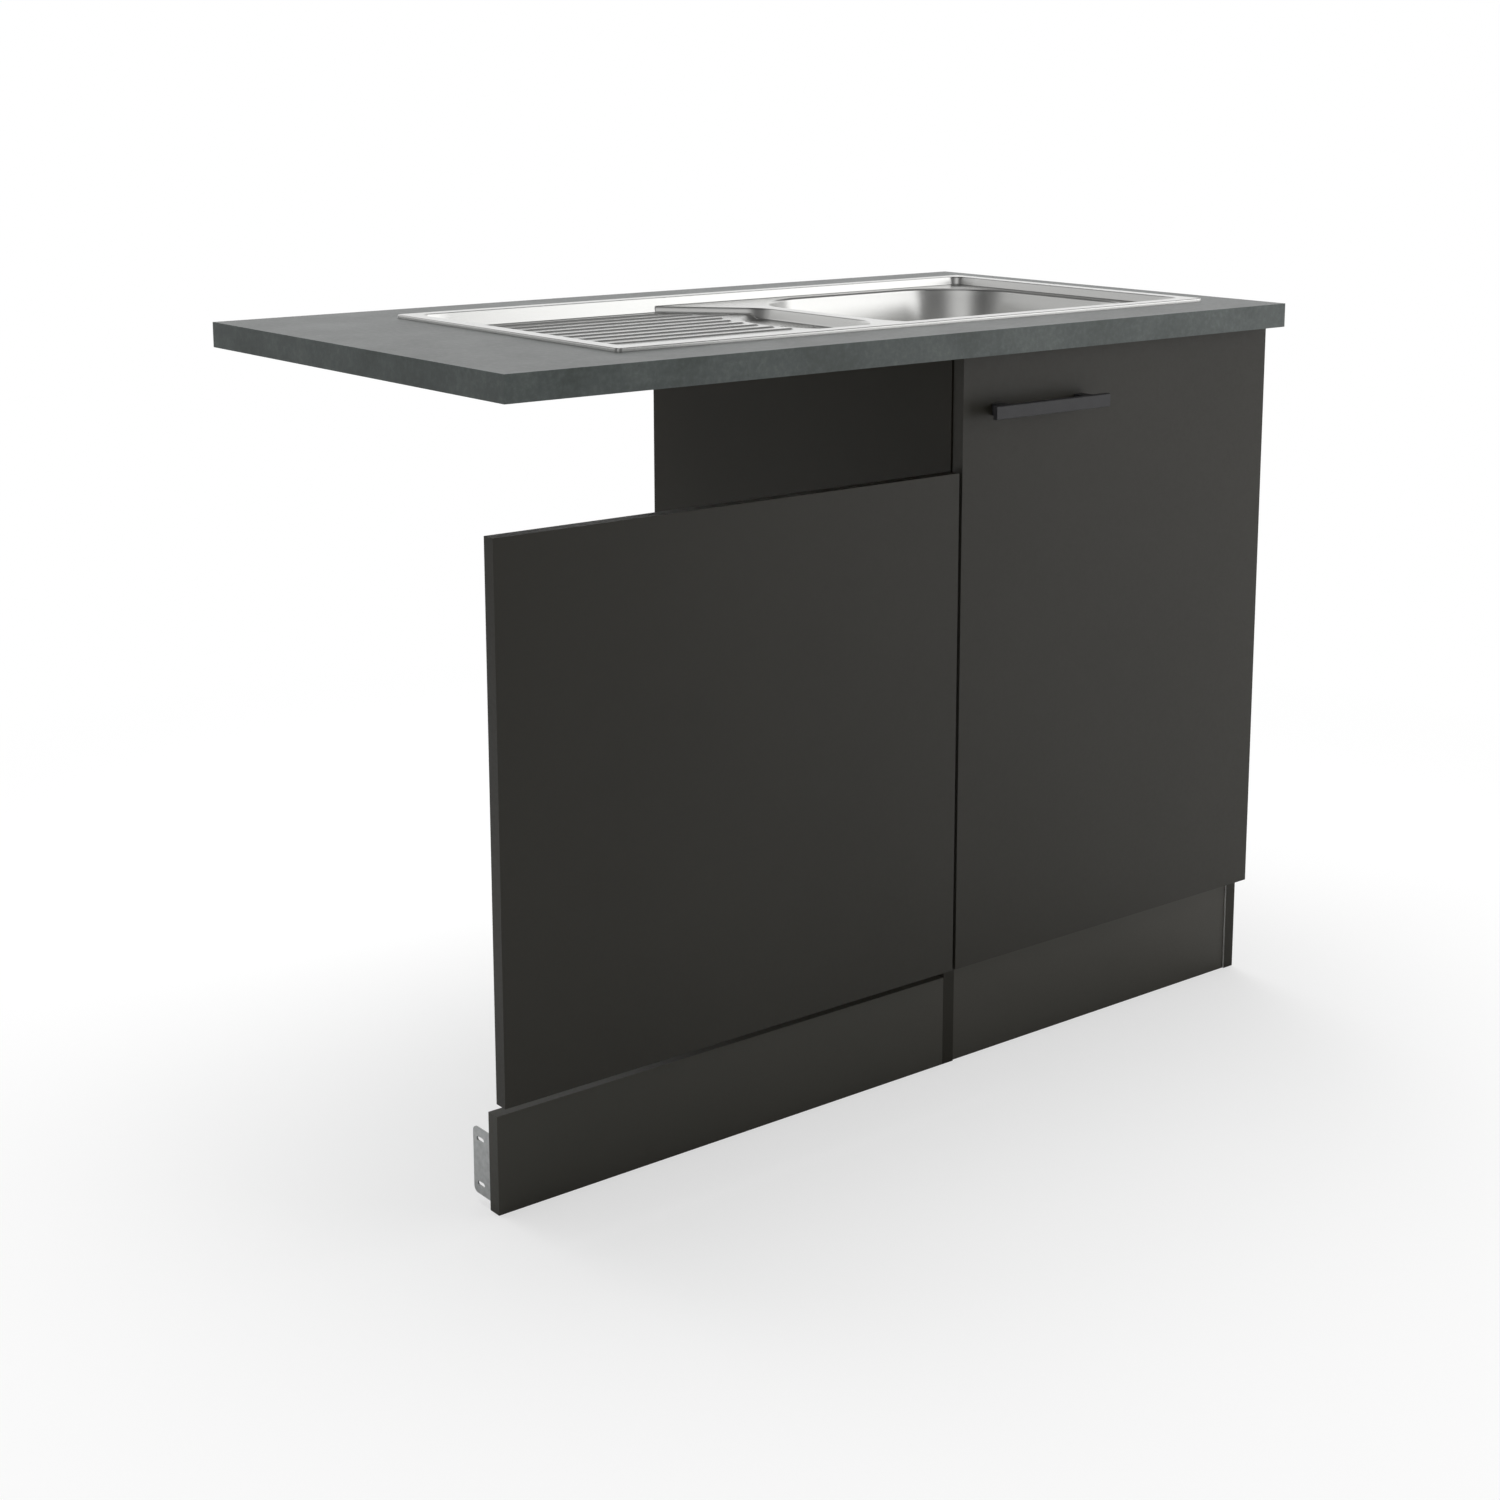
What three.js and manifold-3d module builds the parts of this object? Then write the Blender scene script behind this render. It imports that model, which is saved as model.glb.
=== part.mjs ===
// Kitchen sink unit: a 500 mm sink base cabinet under a worktop that runs on over a dishwasher
// niche, with an inset stainless sink, a hinged door, a loose dishwasher front and two plinths.
// Millimetres. X runs right along the front, Y back towards the wall, Z up from the floor.
// The origin is on the floor under the middle of the worktop.

import * as THREE from 'three';
import { mergeVertices } from 'three/addons/utils/BufferGeometryUtils.js';
import Module from 'manifold-3d';

const wasm = await Module();
wasm.setup();

// ---------------------------------------------------------------- driving dimensions

// Cabinet and worktop
const CABINET_WIDTH = 500;
const NICHE_WIDTH = 600; // room for a 60 cm dishwasher
const CARCASS_HEIGHT = 820;
const WORKTOP_DEPTH = 600;
const WORKTOP_THICK = 28;
const EDGING_THICK = 1;
const BOARD = 16; // carcass board
const CARCASS_FLOOR_HEIGHT = 120; // floor to the underside of the bottom board
const TOP_RAIL_HEIGHT = 80;
const BACK_RAIL_HEIGHT = 100;
const LOW_RAIL_HEIGHT = 80;

// Fronts
const FRONT_OVERHANG = 27; // worktop edge to the face of the fronts
const FRONT_THICK = 16;
const FRONT_GAP = 1.5; // back of the fronts to the carcass
const FRONTS_ABOVE_FLOOR = 119.5;
const DOOR_TOP_GAP = 3;
const DOOR_SIDE_REVEAL = 1.5;
const DISHWASHER_FRONT_HEIGHT = 571;
const DISHWASHER_REVEAL_LEFT = 1;
const DISHWASHER_REVEAL_RIGHT = 3;

// Plinths
const PLINTH_THICK = 16;
const NICHE_PLINTH_HEIGHT = 105;
const NICHE_PLINTH_INSET = 2; // from the left end of the worktop
const CABINET_PLINTH_SETBACK = 2; // behind the carcass edge
const PLINTH_PLAY = 0.3;

// Plinth brackets
const BRACKET_HEIGHT = 71;
const BRACKET_LEG = 30;
const BRACKET_SHEET = 1.5;
const BRACKET_ABOVE_FLOOR = 10;
const BRACKET_CORNER = 6;
const SLOT_LENGTH = 13;
const SLOT_WIDTH = 4.5;
const SLOT_PITCH = 48;
const BRACKET_SCREW_HEAD = 8;
const BRACKET_SCREW_RISE = 2;

// Sink
const SINK_WIDTH = 860;
const SINK_DEPTH = 435;
const SINK_FROM_RIGHT = 58.5; // worktop end to sink edge
const SINK_FROM_FRONT = 78;
const SINK_CORNER = 6;
const SHEET = 1; // pressed steel
const RIM_HEIGHT = 4;
const RIM_WIDTH = 18;
const RECESS_DEPTH = 10; // rim top to the ledge round the bowl
const RECESS_CORNER = 16;
const CUTOUT_MARGIN = 10; // how far the rim laps onto the worktop
const CUTOUT_CORNER = 12;
const SEAL_WIDTH = 8;
const SEAL_INSET = 0.5; // from the inside of the turned-down lip

// Drainer
const PAN_STEP = 9; // ledge to drainer floor
const PAN_TAPER = 90; // the end towards the bowl narrows over this length
const PAN_END_WIDTH = 198; // straight middle of that end, before its corners are rounded
const PAN_TO_BOWL = 22;
const PAN_CORNER = 14;
const PAN_END_CORNER = 55;
const PAN_SHOULDER = 12;
const RIB_COUNT = 13;
const RIB_PITCH = 28.3;
const RIB_WIDTH = 10;
const RIB_HEIGHT = 1.4;
const RIB_LEFT_MARGIN = 14;
const RIB_TO_SUMP = 5.5;
const RIB_END_ARC = 200; // radius of the arc on which the ribs facing the sump end
const RIB_FACING_SUMP = 3; // ribs on each side of the middle one that end on that arc
const RIB_TO_END = 41; // the next rib outwards stops this far from the end wall
const RIB_SHORTER = 35.4; // each rib further out is shorter by this
const SUMP_STEP = 3;
const SUMP_RADIUS = 125;
const SUMP_PAST_END = 38; // the sump is part of a disc centred this far past the end wall
const SUMP_SLOPE = 10;
const OVERFLOW_DIAMETER = 48;
const OVERFLOW_FROM_WALL = 26;
const OVERFLOW_PLATE = 1.2;
const OVERFLOW_HOLE = 5;
const OVERFLOW_HOLE_COUNT = 12;
const OVERFLOW_DROP = 7; // depth of the flat housing under the sump
const OVERFLOW_SPOUT = 10;
const OVERFLOW_SPOUT_LENGTH = 22;

// Bowl
const BOWL_CLEARANCE = 21; // cabinet side to bowl edge
const BOWL_LEDGE_RIGHT = 19;
const BOWL_LEDGE_BACK = 23;
const BOWL_LEDGE_FRONT = 23;
const BOWL_DEPTH = 150;
const BOWL_CORNER = 95;
const BOWL_LIP = 4;
const BOWL_DRAFT = 7; // how far the walls lean in by the bottom
const BOWL_BOTTOM_RADIUS = 42;
const BOWL_FALL = 3; // fall of the floor to the waste

// Waste
const WASTE_FLANGE = 112;
const WASTE_HOLE_DIAMETER = 90;
const WASTE_DISH = 3.5;
const WASTE_SHEET = 1.2;
const WASTE_THROAT = 20;
const WASTE_SEAL = 2;
const WASTE_CUP_DEPTH = 58;
const WASTE_SPIGOT = 40;
const WASTE_SPIGOT_LENGTH = 26;
const WASTE_WALL = 2.5;
const WASTE_PLAY = 0.4;
const BASKET_DIAMETER = 84;
const BASKET_DEPTH = 30;
const BASKET_SLOTS = 8;
const BASKET_KNOB = 16;
const BASKET_KNOB_HEIGHT = 20;

// Sink clamps
const CLAMP_WIDTH = 20;
const CLAMP_SHEET = 1.5;
const CLAMP_REACH = 20;
const CLAMP_DROP = 3; // clamp foot below the worktop
const CLAMP_SCREW = 4;
const CLAMP_ENDS = 110; // first and last clamp from the sink's ends
const CLAMP_FROM_SIDE = 40; // middle clamp to the cabinet side, on the niche's side of it

// Worktop angles
const ANGLE_LEG = 24;
const ANGLE_WIDTH = 20;
const ANGLE_SHEET = 2;
const ANGLE_FROM_SIDE = 60;

// Handle
const HANDLE_LENGTH = 176;
const HANDLE_HEIGHT = 15;
const HANDLE_BAR = 6;
const HANDLE_PROJECTION = 26;
const HANDLE_FROM_EDGE = 26; // door edge to the end of the bar
const HANDLE_FROM_TOP = 53;
const HANDLE_PITCH = 128;
const HANDLE_LEG = 14;
const HANDLE_EDGE = 0.8;
const SCREW_SHANK = 4;
const SCREW_PLAY = 0.3;
const SCREW_HEAD = 8;
const SCREW_HEAD_DEPTH = 2.2;
const SCREW_IN_LEG = 12;

// Concealed hinges
const HINGE_CUP = 35;
const HINGE_CUP_DEPTH = 11.5;
const HINGE_CUP_FROM_EDGE = 22.5;
const HINGE_CUP_SHEET = 1;
const HINGE_FLANGE_HEIGHT = 62;
const HINGE_FLANGE_WIDTH = 22;
const HINGE_FROM_END = 100;
const HINGE_ARM_WIDTH = 11;
const HINGE_ARM_HEIGHT = 13;
const HINGE_ARM_LENGTH = 68;
const HINGE_ARM_REACH = 7; // how far the arm dips into the cup
const HINGE_ARM_SHEET = 1.2;
const HINGE_PLATE_THICK = 4;
const HINGE_PLATE_LINE = 37; // carcass edge to the plate's screw line
const HINGE_PLATE_HEIGHT = 48;
const HINGE_PLATE_WIDTH = 30;
const HINGE_PLATE_NECK = 18;
const HINGE_PLAY = 0.3;

// Door buffers
const BUFFER_DIAMETER = 10;
const BUFFER_THICK = 1.2;
const BUFFER_FROM_END = 30;

// ---------------------------------------------------------------- places worked out from them

const WORKTOP_WIDTH = NICHE_WIDTH + CABINET_WIDTH;
const left = -WORKTOP_WIDTH / 2;
const right = WORKTOP_WIDTH / 2;
const front = -WORKTOP_DEPTH / 2;
const back = WORKTOP_DEPTH / 2;
const deck = CARCASS_HEIGHT + WORKTOP_THICK; // top of the worktop
const cabinetLeft = left + NICHE_WIDTH;
const innerLeft = cabinetLeft + BOARD;
const innerRight = right - BOARD;
const frontFace = front + FRONT_OVERHANG;
const frontBack = frontFace + FRONT_THICK;
const carcassFront = frontBack + FRONT_GAP;
const bottomTop = CARCASS_FLOOR_HEIGHT + BOARD;

const door = {
  left: cabinetLeft + DOOR_SIDE_REVEAL,
  right: right - DOOR_SIDE_REVEAL,
  bottom: FRONTS_ABOVE_FLOOR,
  top: CARCASS_HEIGHT - DOOR_TOP_GAP,
};

const sink = {
  left: right - SINK_FROM_RIGHT - SINK_WIDTH,
  right: right - SINK_FROM_RIGHT,
  front: front + SINK_FROM_FRONT,
  back: front + SINK_FROM_FRONT + SINK_DEPTH,
};
const sinkMiddle = (sink.front + sink.back) / 2;
const rimTop = deck + RIM_HEIGHT;
const recess = inset(sink, RIM_WIDTH);
const ledge = rimTop - RECESS_DEPTH;
const panFloor = ledge - PAN_STEP;
const sumpFloor = panFloor - SUMP_STEP;

const bowl = {
  left: innerLeft + BOWL_CLEARANCE,
  right: recess.right - BOWL_LEDGE_RIGHT,
  front: recess.front + BOWL_LEDGE_FRONT,
  back: recess.back - BOWL_LEDGE_BACK,
};
const bowlFloor = ledge - BOWL_DEPTH;
const wasteX = (bowl.left + bowl.right) / 2;
const wasteY = (bowl.front + bowl.back) / 2;
const wasteSeat = bowlFloor - BOWL_FALL;

const panEnd = bowl.left - PAN_TO_BOWL;
const panHalfDepth = (recess.back - recess.front) / 2;
const panTaperAngle = Math.atan2(panHalfDepth - PAN_END_WIDTH / 2, PAN_TAPER);
const overflowX = panEnd - OVERFLOW_FROM_WALL;
const sumpCentreX = panEnd + SUMP_PAST_END;
const sumpLeft = sumpCentreX - SUMP_RADIUS;

// ---------------------------------------------------------------- solids

function inset(box, by) {
  return { left: box.left + by, right: box.right - by, front: box.front + by, back: box.back - by };
}

// A closed three.js geometry as a solid that can be joined and cut.
function solid(geometry) {
  geometry.deleteAttribute('normal');
  geometry.deleteAttribute('uv');
  const closed = mergeVertices(geometry, 1e-4);
  const vertProperties = new Float32Array(closed.attributes.position.array);
  const triVerts = new Uint32Array(closed.index.array);
  return new wasm.Manifold(new wasm.Mesh({ numProp: 3, vertProperties, triVerts }));
}

function geometryOf(body) {
  const mesh = body.getMesh();
  const geometry = new THREE.BufferGeometry();
  geometry.setAttribute('position', new THREE.BufferAttribute(new Float32Array(mesh.vertProperties), 3));
  geometry.setIndex(new THREE.BufferAttribute(new Uint32Array(mesh.triVerts), 1));
  geometry.computeVertexNormals();
  return geometry;
}

function block(x0, x1, y0, y1, z0, z1) {
  const geometry = new THREE.BoxGeometry(x1 - x0, y1 - y0, z1 - z0);
  geometry.translate((x0 + x1) / 2, (y0 + y1) / 2, (z0 + z1) / 2);
  return solid(geometry);
}

function roundedShape(box, radius) {
  const r = Math.max(radius, 0.1);
  const shape = new THREE.Shape();
  shape.absarc(box.right - r, box.front + r, r, -Math.PI / 2, 0);
  shape.absarc(box.right - r, box.back - r, r, 0, Math.PI / 2);
  shape.absarc(box.left + r, box.back - r, r, Math.PI / 2, Math.PI);
  shape.absarc(box.left + r, box.front + r, r, Math.PI, 1.5 * Math.PI);
  return shape;
}

// A closed outline through [x, y, radius] corners in anticlockwise order.
function outline(corners) {
  const shape = new THREE.Shape();
  corners.forEach(([x, y, radius], i) => {
    const [beforeX, beforeY] = corners.at(i - 1);
    const [afterX, afterY] = corners[(i + 1) % corners.length];
    const arriving = Math.atan2(y - beforeY, x - beforeX);
    const leaving = Math.atan2(afterY - y, afterX - x);
    const bend = (leaving - arriving + 2 * Math.PI) % (2 * Math.PI);
    const short = radius * Math.tan(bend / 2);
    const centreX = x - short * Math.cos(arriving) - radius * Math.sin(arriving);
    const centreY = y - short * Math.sin(arriving) + radius * Math.cos(arriving);
    shape.absarc(centreX, centreY, radius, arriving - Math.PI / 2, arriving - Math.PI / 2 + bend);
  });
  return shape;
}

function prism(shape, z0, z1, curveSegments = 4) {
  const geometry = new THREE.ExtrudeGeometry(shape, { depth: z1 - z0, bevelEnabled: false, curveSegments });
  geometry.translate(0, 0, z0);
  return solid(geometry);
}

// A prism whose shape is drawn in (Y, Z) and that runs along X.
function prismAlongX(shape, x0, x1, curveSegments = 4) {
  const geometry = new THREE.ExtrudeGeometry(shape, { depth: x1 - x0, bevelEnabled: false, curveSegments });
  const turn = new THREE.Matrix4().set(0, 0, 1, x0, 1, 0, 0, 0, 0, 1, 0, 0, 0, 0, 0, 1);
  geometry.applyMatrix4(turn);
  return solid(geometry);
}

// A prism whose shape is drawn in (X, Z) and that runs along Y.
function prismAlongY(shape, y0, y1, curveSegments = 4) {
  const geometry = new THREE.ExtrudeGeometry(shape, { depth: y1 - y0, bevelEnabled: false, curveSegments });
  geometry.rotateX(Math.PI / 2);
  geometry.translate(0, y1, 0);
  return solid(geometry);
}

function cylinder(x, y, z0, z1, radius, sides = 24) {
  const geometry = new THREE.CylinderGeometry(radius, radius, z1 - z0, sides);
  geometry.rotateX(Math.PI / 2);
  geometry.translate(x, y, (z0 + z1) / 2);
  return solid(geometry);
}

function cylinderAlongY(x, z, y0, y1, radius, sides = 24) {
  const geometry = new THREE.CylinderGeometry(radius, radius, y1 - y0, sides);
  geometry.translate(x, (y0 + y1) / 2, z);
  return solid(geometry);
}

// A turned piece about a vertical axis at (x, y): the profile lists [radius, height] and closes.
function turned(x, y, profile, sides = 32) {
  const points = profile.map(([r, z]) => new THREE.Vector2(r, z));
  points.push(points[0].clone());
  const geometry = new THREE.LatheGeometry(points, sides);
  geometry.rotateX(Math.PI / 2);
  geometry.translate(x, y, 0);
  return solid(geometry);
}

// A solid through rings of equal length, from the bottom ring up.
function loft(rings) {
  const count = rings[0].length;
  const positions = rings.flat(2);
  const faces = [];
  for (let level = 0; level < rings.length - 1; level += 1) {
    for (let i = 0; i < count; i += 1) {
      const a = level * count + i;
      const b = level * count + (i + 1) % count;
      faces.push(a, b, b + count, a, b + count, a + count);
    }
  }
  const topStart = (rings.length - 1) * count;
  for (let i = 1; i < count - 1; i += 1) {
    faces.push(0, i + 1, i);
    faces.push(topStart, topStart + i, topStart + i + 1);
  }
  const geometry = new THREE.BufferGeometry();
  geometry.setAttribute('position', new THREE.Float32BufferAttribute(positions, 3));
  geometry.setIndex(faces);
  return solid(geometry);
}

const CORNER_STEPS = 7;

// One ring of a rounded rectangle, anticlockwise, with the same points at every size.
function roundedRing(box, radius, z) {
  const r = Math.max(radius, 1);
  const corners = [
    [box.right - r, box.front + r, -90],
    [box.right - r, box.back - r, 0],
    [box.left + r, box.back - r, 90],
    [box.left + r, box.front + r, 180],
  ];
  const ring = [];
  for (const [x, y, start] of corners) {
    for (let i = 0; i <= CORNER_STEPS; i += 1) {
      const angle = THREE.MathUtils.degToRad(start + (90 * i) / CORNER_STEPS);
      ring.push([x + r * Math.cos(angle), y + r * Math.sin(angle), z]);
    }
  }
  return ring;
}

function circleRing(x, y, radius, z) {
  const box = { left: x - radius, right: x + radius, front: y - radius, back: y + radius };
  return roundedRing(box, radius - 0.5, z);
}

const group = new THREE.Group();

const finishes = {
  front: new THREE.MeshStandardMaterial({ color: 0x5f5d57, roughness: 0.6, metalness: 0 }),
  carcass: new THREE.MeshStandardMaterial({ color: 0x5a5852, roughness: 0.6, metalness: 0 }),
  worktop: new THREE.MeshStandardMaterial({ color: 0x6f7674, roughness: 0.45, metalness: 0 }),
  steel: new THREE.MeshStandardMaterial({ color: 0xc4c6c7, roughness: 0.3, metalness: 1 }),
  black: new THREE.MeshStandardMaterial({ color: 0x3a3c3d, roughness: 0.4, metalness: 0.6 }),
  zinc: new THREE.MeshStandardMaterial({ color: 0xb2b4b3, roughness: 0.4, metalness: 1 }),
  nickel: new THREE.MeshStandardMaterial({ color: 0xb9b8b2, roughness: 0.3, metalness: 1 }),
  rubber: new THREE.MeshStandardMaterial({ color: 0x1f2020, roughness: 0.8, metalness: 0 }),
  plastic: new THREE.MeshStandardMaterial({ color: 0xe6e6e2, roughness: 0.5, metalness: 0 }),
  clear: new THREE.MeshStandardMaterial({ color: 0xd8dad8, roughness: 0.3, metalness: 0 }),
};

function add(name, body, finish) {
  const mesh = new THREE.Mesh(geometryOf(body), finishes[finish].clone());
  mesh.name = name;
  group.add(mesh);
}

// ---------------------------------------------------------------- worktop

function worktop() {
  const core = block(left + EDGING_THICK, right - EDGING_THICK, front + EDGING_THICK, back, CARCASS_HEIGHT, deck);
  const hole = prism(roundedShape(inset(sink, CUTOUT_MARGIN), CUTOUT_CORNER), CARCASS_HEIGHT - 1, deck + 1);
  add('worktop', core.subtract(hole), 'worktop');
  add('worktop_edging_front', block(left, right, front, front + EDGING_THICK, CARCASS_HEIGHT, deck), 'worktop');
  const ends = { left: [left, left + EDGING_THICK], right: [right - EDGING_THICK, right] };
  for (const [side, [x0, x1]] of Object.entries(ends)) {
    add(`worktop_edging_${side}`, block(x0, x1, front + EDGING_THICK, back, CARCASS_HEIGHT, deck), 'worktop');
  }
}

// ---------------------------------------------------------------- sink

// The outline of the drainer: square on the left, narrowing to a straight end towards the bowl.
function panShape(grow) {
  const half = panHalfDepth + grow;
  // The slanted sides move out by grow along their own normal, so both of their ends shift.
  const shoulderX = panEnd - PAN_TAPER + grow * Math.tan(panTaperAngle / 2);
  const endHalf = PAN_END_WIDTH / 2 + grow * Math.tan(Math.PI / 4 - panTaperAngle / 2);
  const x0 = recess.left - grow;
  const x1 = panEnd + grow;
  return outline([
    [x0, sinkMiddle - half, PAN_CORNER + grow],
    [shoulderX, sinkMiddle - half, PAN_SHOULDER + grow],
    [x1, sinkMiddle - endHalf, PAN_END_CORNER + grow],
    [x1, sinkMiddle + endHalf, PAN_END_CORNER + grow],
    [shoulderX, sinkMiddle + half, PAN_SHOULDER + grow],
    [x0, sinkMiddle + half, PAN_CORNER + grow],
  ]);
}

// The sump is the part of a shallow dished disc that lies inside the drainer.
function sump(grow) {
  const floor = sumpFloor - grow;
  const brim = panFloor - grow;
  const top = ledge - 1;
  const disc = turned(sumpCentreX, sinkMiddle, [
    [0, floor],
    [SUMP_RADIUS - SUMP_SLOPE + grow, floor],
    [SUMP_RADIUS + grow, brim],
    [SUMP_RADIUS + grow, grow > 0 ? panFloor : top],
    [0, grow > 0 ? panFloor : top],
  ], 72);
  return disc.intersect(prism(panShape(grow), floor - 1, top, 6));
}

function ribEnd(step) {
  if (step <= RIB_FACING_SUMP) {
    const short = RIB_END_ARC - Math.sqrt(RIB_END_ARC ** 2 - (RIB_PITCH * step) ** 2);
    return sumpLeft - RIB_TO_SUMP + short;
  }
  return panEnd - RIB_TO_END - RIB_SHORTER * (step - RIB_FACING_SUMP - 1);
}

function ribs() {
  const start = recess.left + RIB_LEFT_MARGIN;
  const middle = (RIB_COUNT - 1) / 2;
  let beads = null;
  for (let i = 0; i < RIB_COUNT; i += 1) {
    const end = ribEnd(Math.abs(i - middle));
    const bead = new THREE.CapsuleGeometry(RIB_WIDTH / 2, end - start - RIB_WIDTH, 2, 8, 1);
    bead.rotateZ(Math.PI / 2);
    bead.scale(1, 1, RIB_HEIGHT / (RIB_WIDTH / 2));
    bead.translate((start + end) / 2, sinkMiddle + RIB_PITCH * (i - middle), panFloor);
    beads = beads ? beads.add(solid(bead)) : solid(bead);
  }
  const above = block(recess.left, panEnd, recess.front, recess.back, panFloor - SHEET / 2, ledge);
  return beads.intersect(above);
}

// Rings of the bowl from its floor up; grow is 0 for the hollow and the sheet for the outside.
function bowlRings(grow) {
  const rings = [];
  const ring = (by, z) => {
    rings.push(roundedRing(inset(bowl, by), Math.max(BOWL_CORNER - by, BOWL_BOTTOM_RADIUS), z));
  };
  rings.push(circleRing(wasteX, wasteY, WASTE_FLANGE / 2 + 14, wasteSeat - grow));
  for (const step of [4, 3, 2, 1, 0]) {
    const angle = (step / 4) * (Math.PI / 2);
    const by = BOWL_DRAFT + BOWL_BOTTOM_RADIUS * (1 - Math.cos(angle)) - grow * Math.cos(angle);
    ring(by, bowlFloor + BOWL_BOTTOM_RADIUS * (1 - Math.sin(angle)) - grow * Math.sin(angle));
  }
  for (const step of [3, 2, 1, 0]) {
    const angle = (step / 3) * (Math.PI / 2);
    const by = -BOWL_LIP * (1 - Math.sin(angle)) - grow * Math.sin(angle);
    ring(by, ledge - BOWL_LIP * (1 - Math.cos(angle)) - grow * Math.cos(angle));
  }
  return rings;
}

function bowlHollow() {
  const rings = bowlRings(0);
  const mouth = rings[rings.length - 1].map(([x, y]) => [x, y, rimTop + 1]);
  return loft([...rings, mouth]);
}

function sinkShell() {
  const lipInside = inset(sink, SHEET);
  const wall = inset(recess, -SHEET);
  const flange = prism(roundedShape(sink, SINK_CORNER), rimTop - SHEET, rimTop);
  const lip = prism(roundedShape(sink, SINK_CORNER), deck, rimTop)
    .subtract(prism(roundedShape(lipInside, SINK_CORNER - SHEET), deck - 1, rimTop + 1));
  const tub = prism(roundedShape(wall, RECESS_CORNER + SHEET), ledge - SHEET, rimTop);
  const pan = prism(panShape(SHEET), panFloor - SHEET, ledge, 6);
  const wasteDish = cylinder(wasteX, wasteY, wasteSeat - WASTE_DISH - SHEET, wasteSeat,
    WASTE_FLANGE / 2 + WASTE_PLAY + SHEET, 32);
  const outside = [lip, tub, pan, sump(SHEET), loft(bowlRings(SHEET)), wasteDish]
    .reduce((sum, body) => sum.add(body), flange);

  const hollows = [
    prism(roundedShape(recess, RECESS_CORNER), ledge, rimTop + 1),
    prism(panShape(0), panFloor, rimTop, 6),
    sump(0),
    bowlHollow(),
    cylinder(wasteX, wasteY, wasteSeat - WASTE_DISH, wasteSeat + 1, WASTE_FLANGE / 2 + WASTE_PLAY, 32),
    cylinder(wasteX, wasteY, wasteSeat - WASTE_DISH - 5, wasteSeat, WASTE_HOLE_DIAMETER / 2, 32),
    cylinder(overflowX, sinkMiddle, sumpFloor - 5, sumpFloor + 1, OVERFLOW_DIAMETER / 2 - 4, 24),
  ];
  return hollows.reduce((rest, body) => rest.subtract(body), outside).add(ribs());
}

function sinkSeal() {
  const outer = inset(sink, SHEET + SEAL_INSET);
  const inner = inset(outer, SEAL_WIDTH);
  const ring = prism(roundedShape(outer, SINK_CORNER - SHEET), deck, rimTop - SHEET);
  return ring.subtract(prism(roundedShape(inner, SINK_CORNER - SHEET), deck - 1, rimTop));
}

// A bent strip that hooks under the rim and pulls the sink down onto the worktop.
function sinkClamp(x, side) {
  const wallFace = side === 'front' ? recess.front - SHEET : recess.back + SHEET;
  const outward = side === 'front' ? -1 : 1;
  const near = wallFace + outward * SEAL_INSET;
  const far = near + outward * CLAMP_SHEET;
  const tip = near + outward * CLAMP_REACH;
  const footTop = CARCASS_HEIGHT - CLAMP_DROP;
  const x0 = x - CLAMP_WIDTH / 2;
  const x1 = x + CLAMP_WIDTH / 2;
  const strip = block(x0, x1, Math.min(near, far), Math.max(near, far), footTop - CLAMP_SHEET, rimTop - SHEET);
  const foot = block(x0, x1, Math.min(near, tip), Math.max(near, tip), footTop - CLAMP_SHEET, footTop);
  const screwY = tip - outward * CLAMP_SCREW;
  const screw = cylinder(x, screwY, footTop - CLAMP_SCREW * 2, CARCASS_HEIGHT, CLAMP_SCREW / 2, 12);
  return strip.add(foot).add(screw);
}

function sinkClamps() {
  const places = {
    left: sink.left + CLAMP_ENDS,
    middle: cabinetLeft - CLAMP_FROM_SIDE,
    right: sink.right - CLAMP_ENDS,
  };
  for (const side of ['front', 'back']) {
    for (const [place, x] of Object.entries(places)) {
      add(`sink_clamp_${side}_${place}`, sinkClamp(x, side), 'zinc');
    }
  }
}

// ---------------------------------------------------------------- waste and overflow

const wasteFloor = wasteSeat - WASTE_DISH; // what the flange lies on

function wasteFlange() {
  const r = WASTE_FLANGE / 2;
  const throat = WASTE_HOLE_DIAMETER / 2 - WASTE_PLAY;
  const top = wasteFloor + WASTE_SHEET;
  return turned(wasteX, wasteY, [
    [throat - WASTE_SHEET, top - WASTE_THROAT],
    [throat, top - WASTE_THROAT],
    [throat, wasteFloor],
    [r, wasteFloor],
    [r, top],
    [throat - WASTE_SHEET, top],
  ]);
}

function wasteBody() {
  const topFace = wasteFloor - SHEET - WASTE_SEAL;
  const r = WASTE_FLANGE / 2;
  const cup = WASTE_HOLE_DIAMETER / 2 + WASTE_WALL;
  const floor = topFace - WASTE_CUP_DEPTH;
  const spigot = WASTE_SPIGOT / 2;
  return turned(wasteX, wasteY, [
    [spigot - WASTE_WALL, floor - WASTE_SPIGOT_LENGTH],
    [spigot, floor - WASTE_SPIGOT_LENGTH],
    [spigot, floor - WASTE_WALL],
    [cup, floor + WASTE_WALL],
    [cup, topFace - WASTE_WALL],
    [r, topFace - WASTE_WALL],
    [r, topFace],
    [cup - WASTE_WALL, topFace],
    [cup - WASTE_WALL, floor + 2 * WASTE_WALL],
    [spigot - WASTE_WALL, floor],
  ]);
}

function wasteGasket() {
  const r = WASTE_FLANGE / 2;
  const inner = WASTE_HOLE_DIAMETER / 2 + WASTE_PLAY;
  const top = wasteFloor - SHEET;
  return turned(wasteX, wasteY, [[inner, top - WASTE_SEAL], [r, top - WASTE_SEAL], [r, top], [inner, top]]);
}

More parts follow.
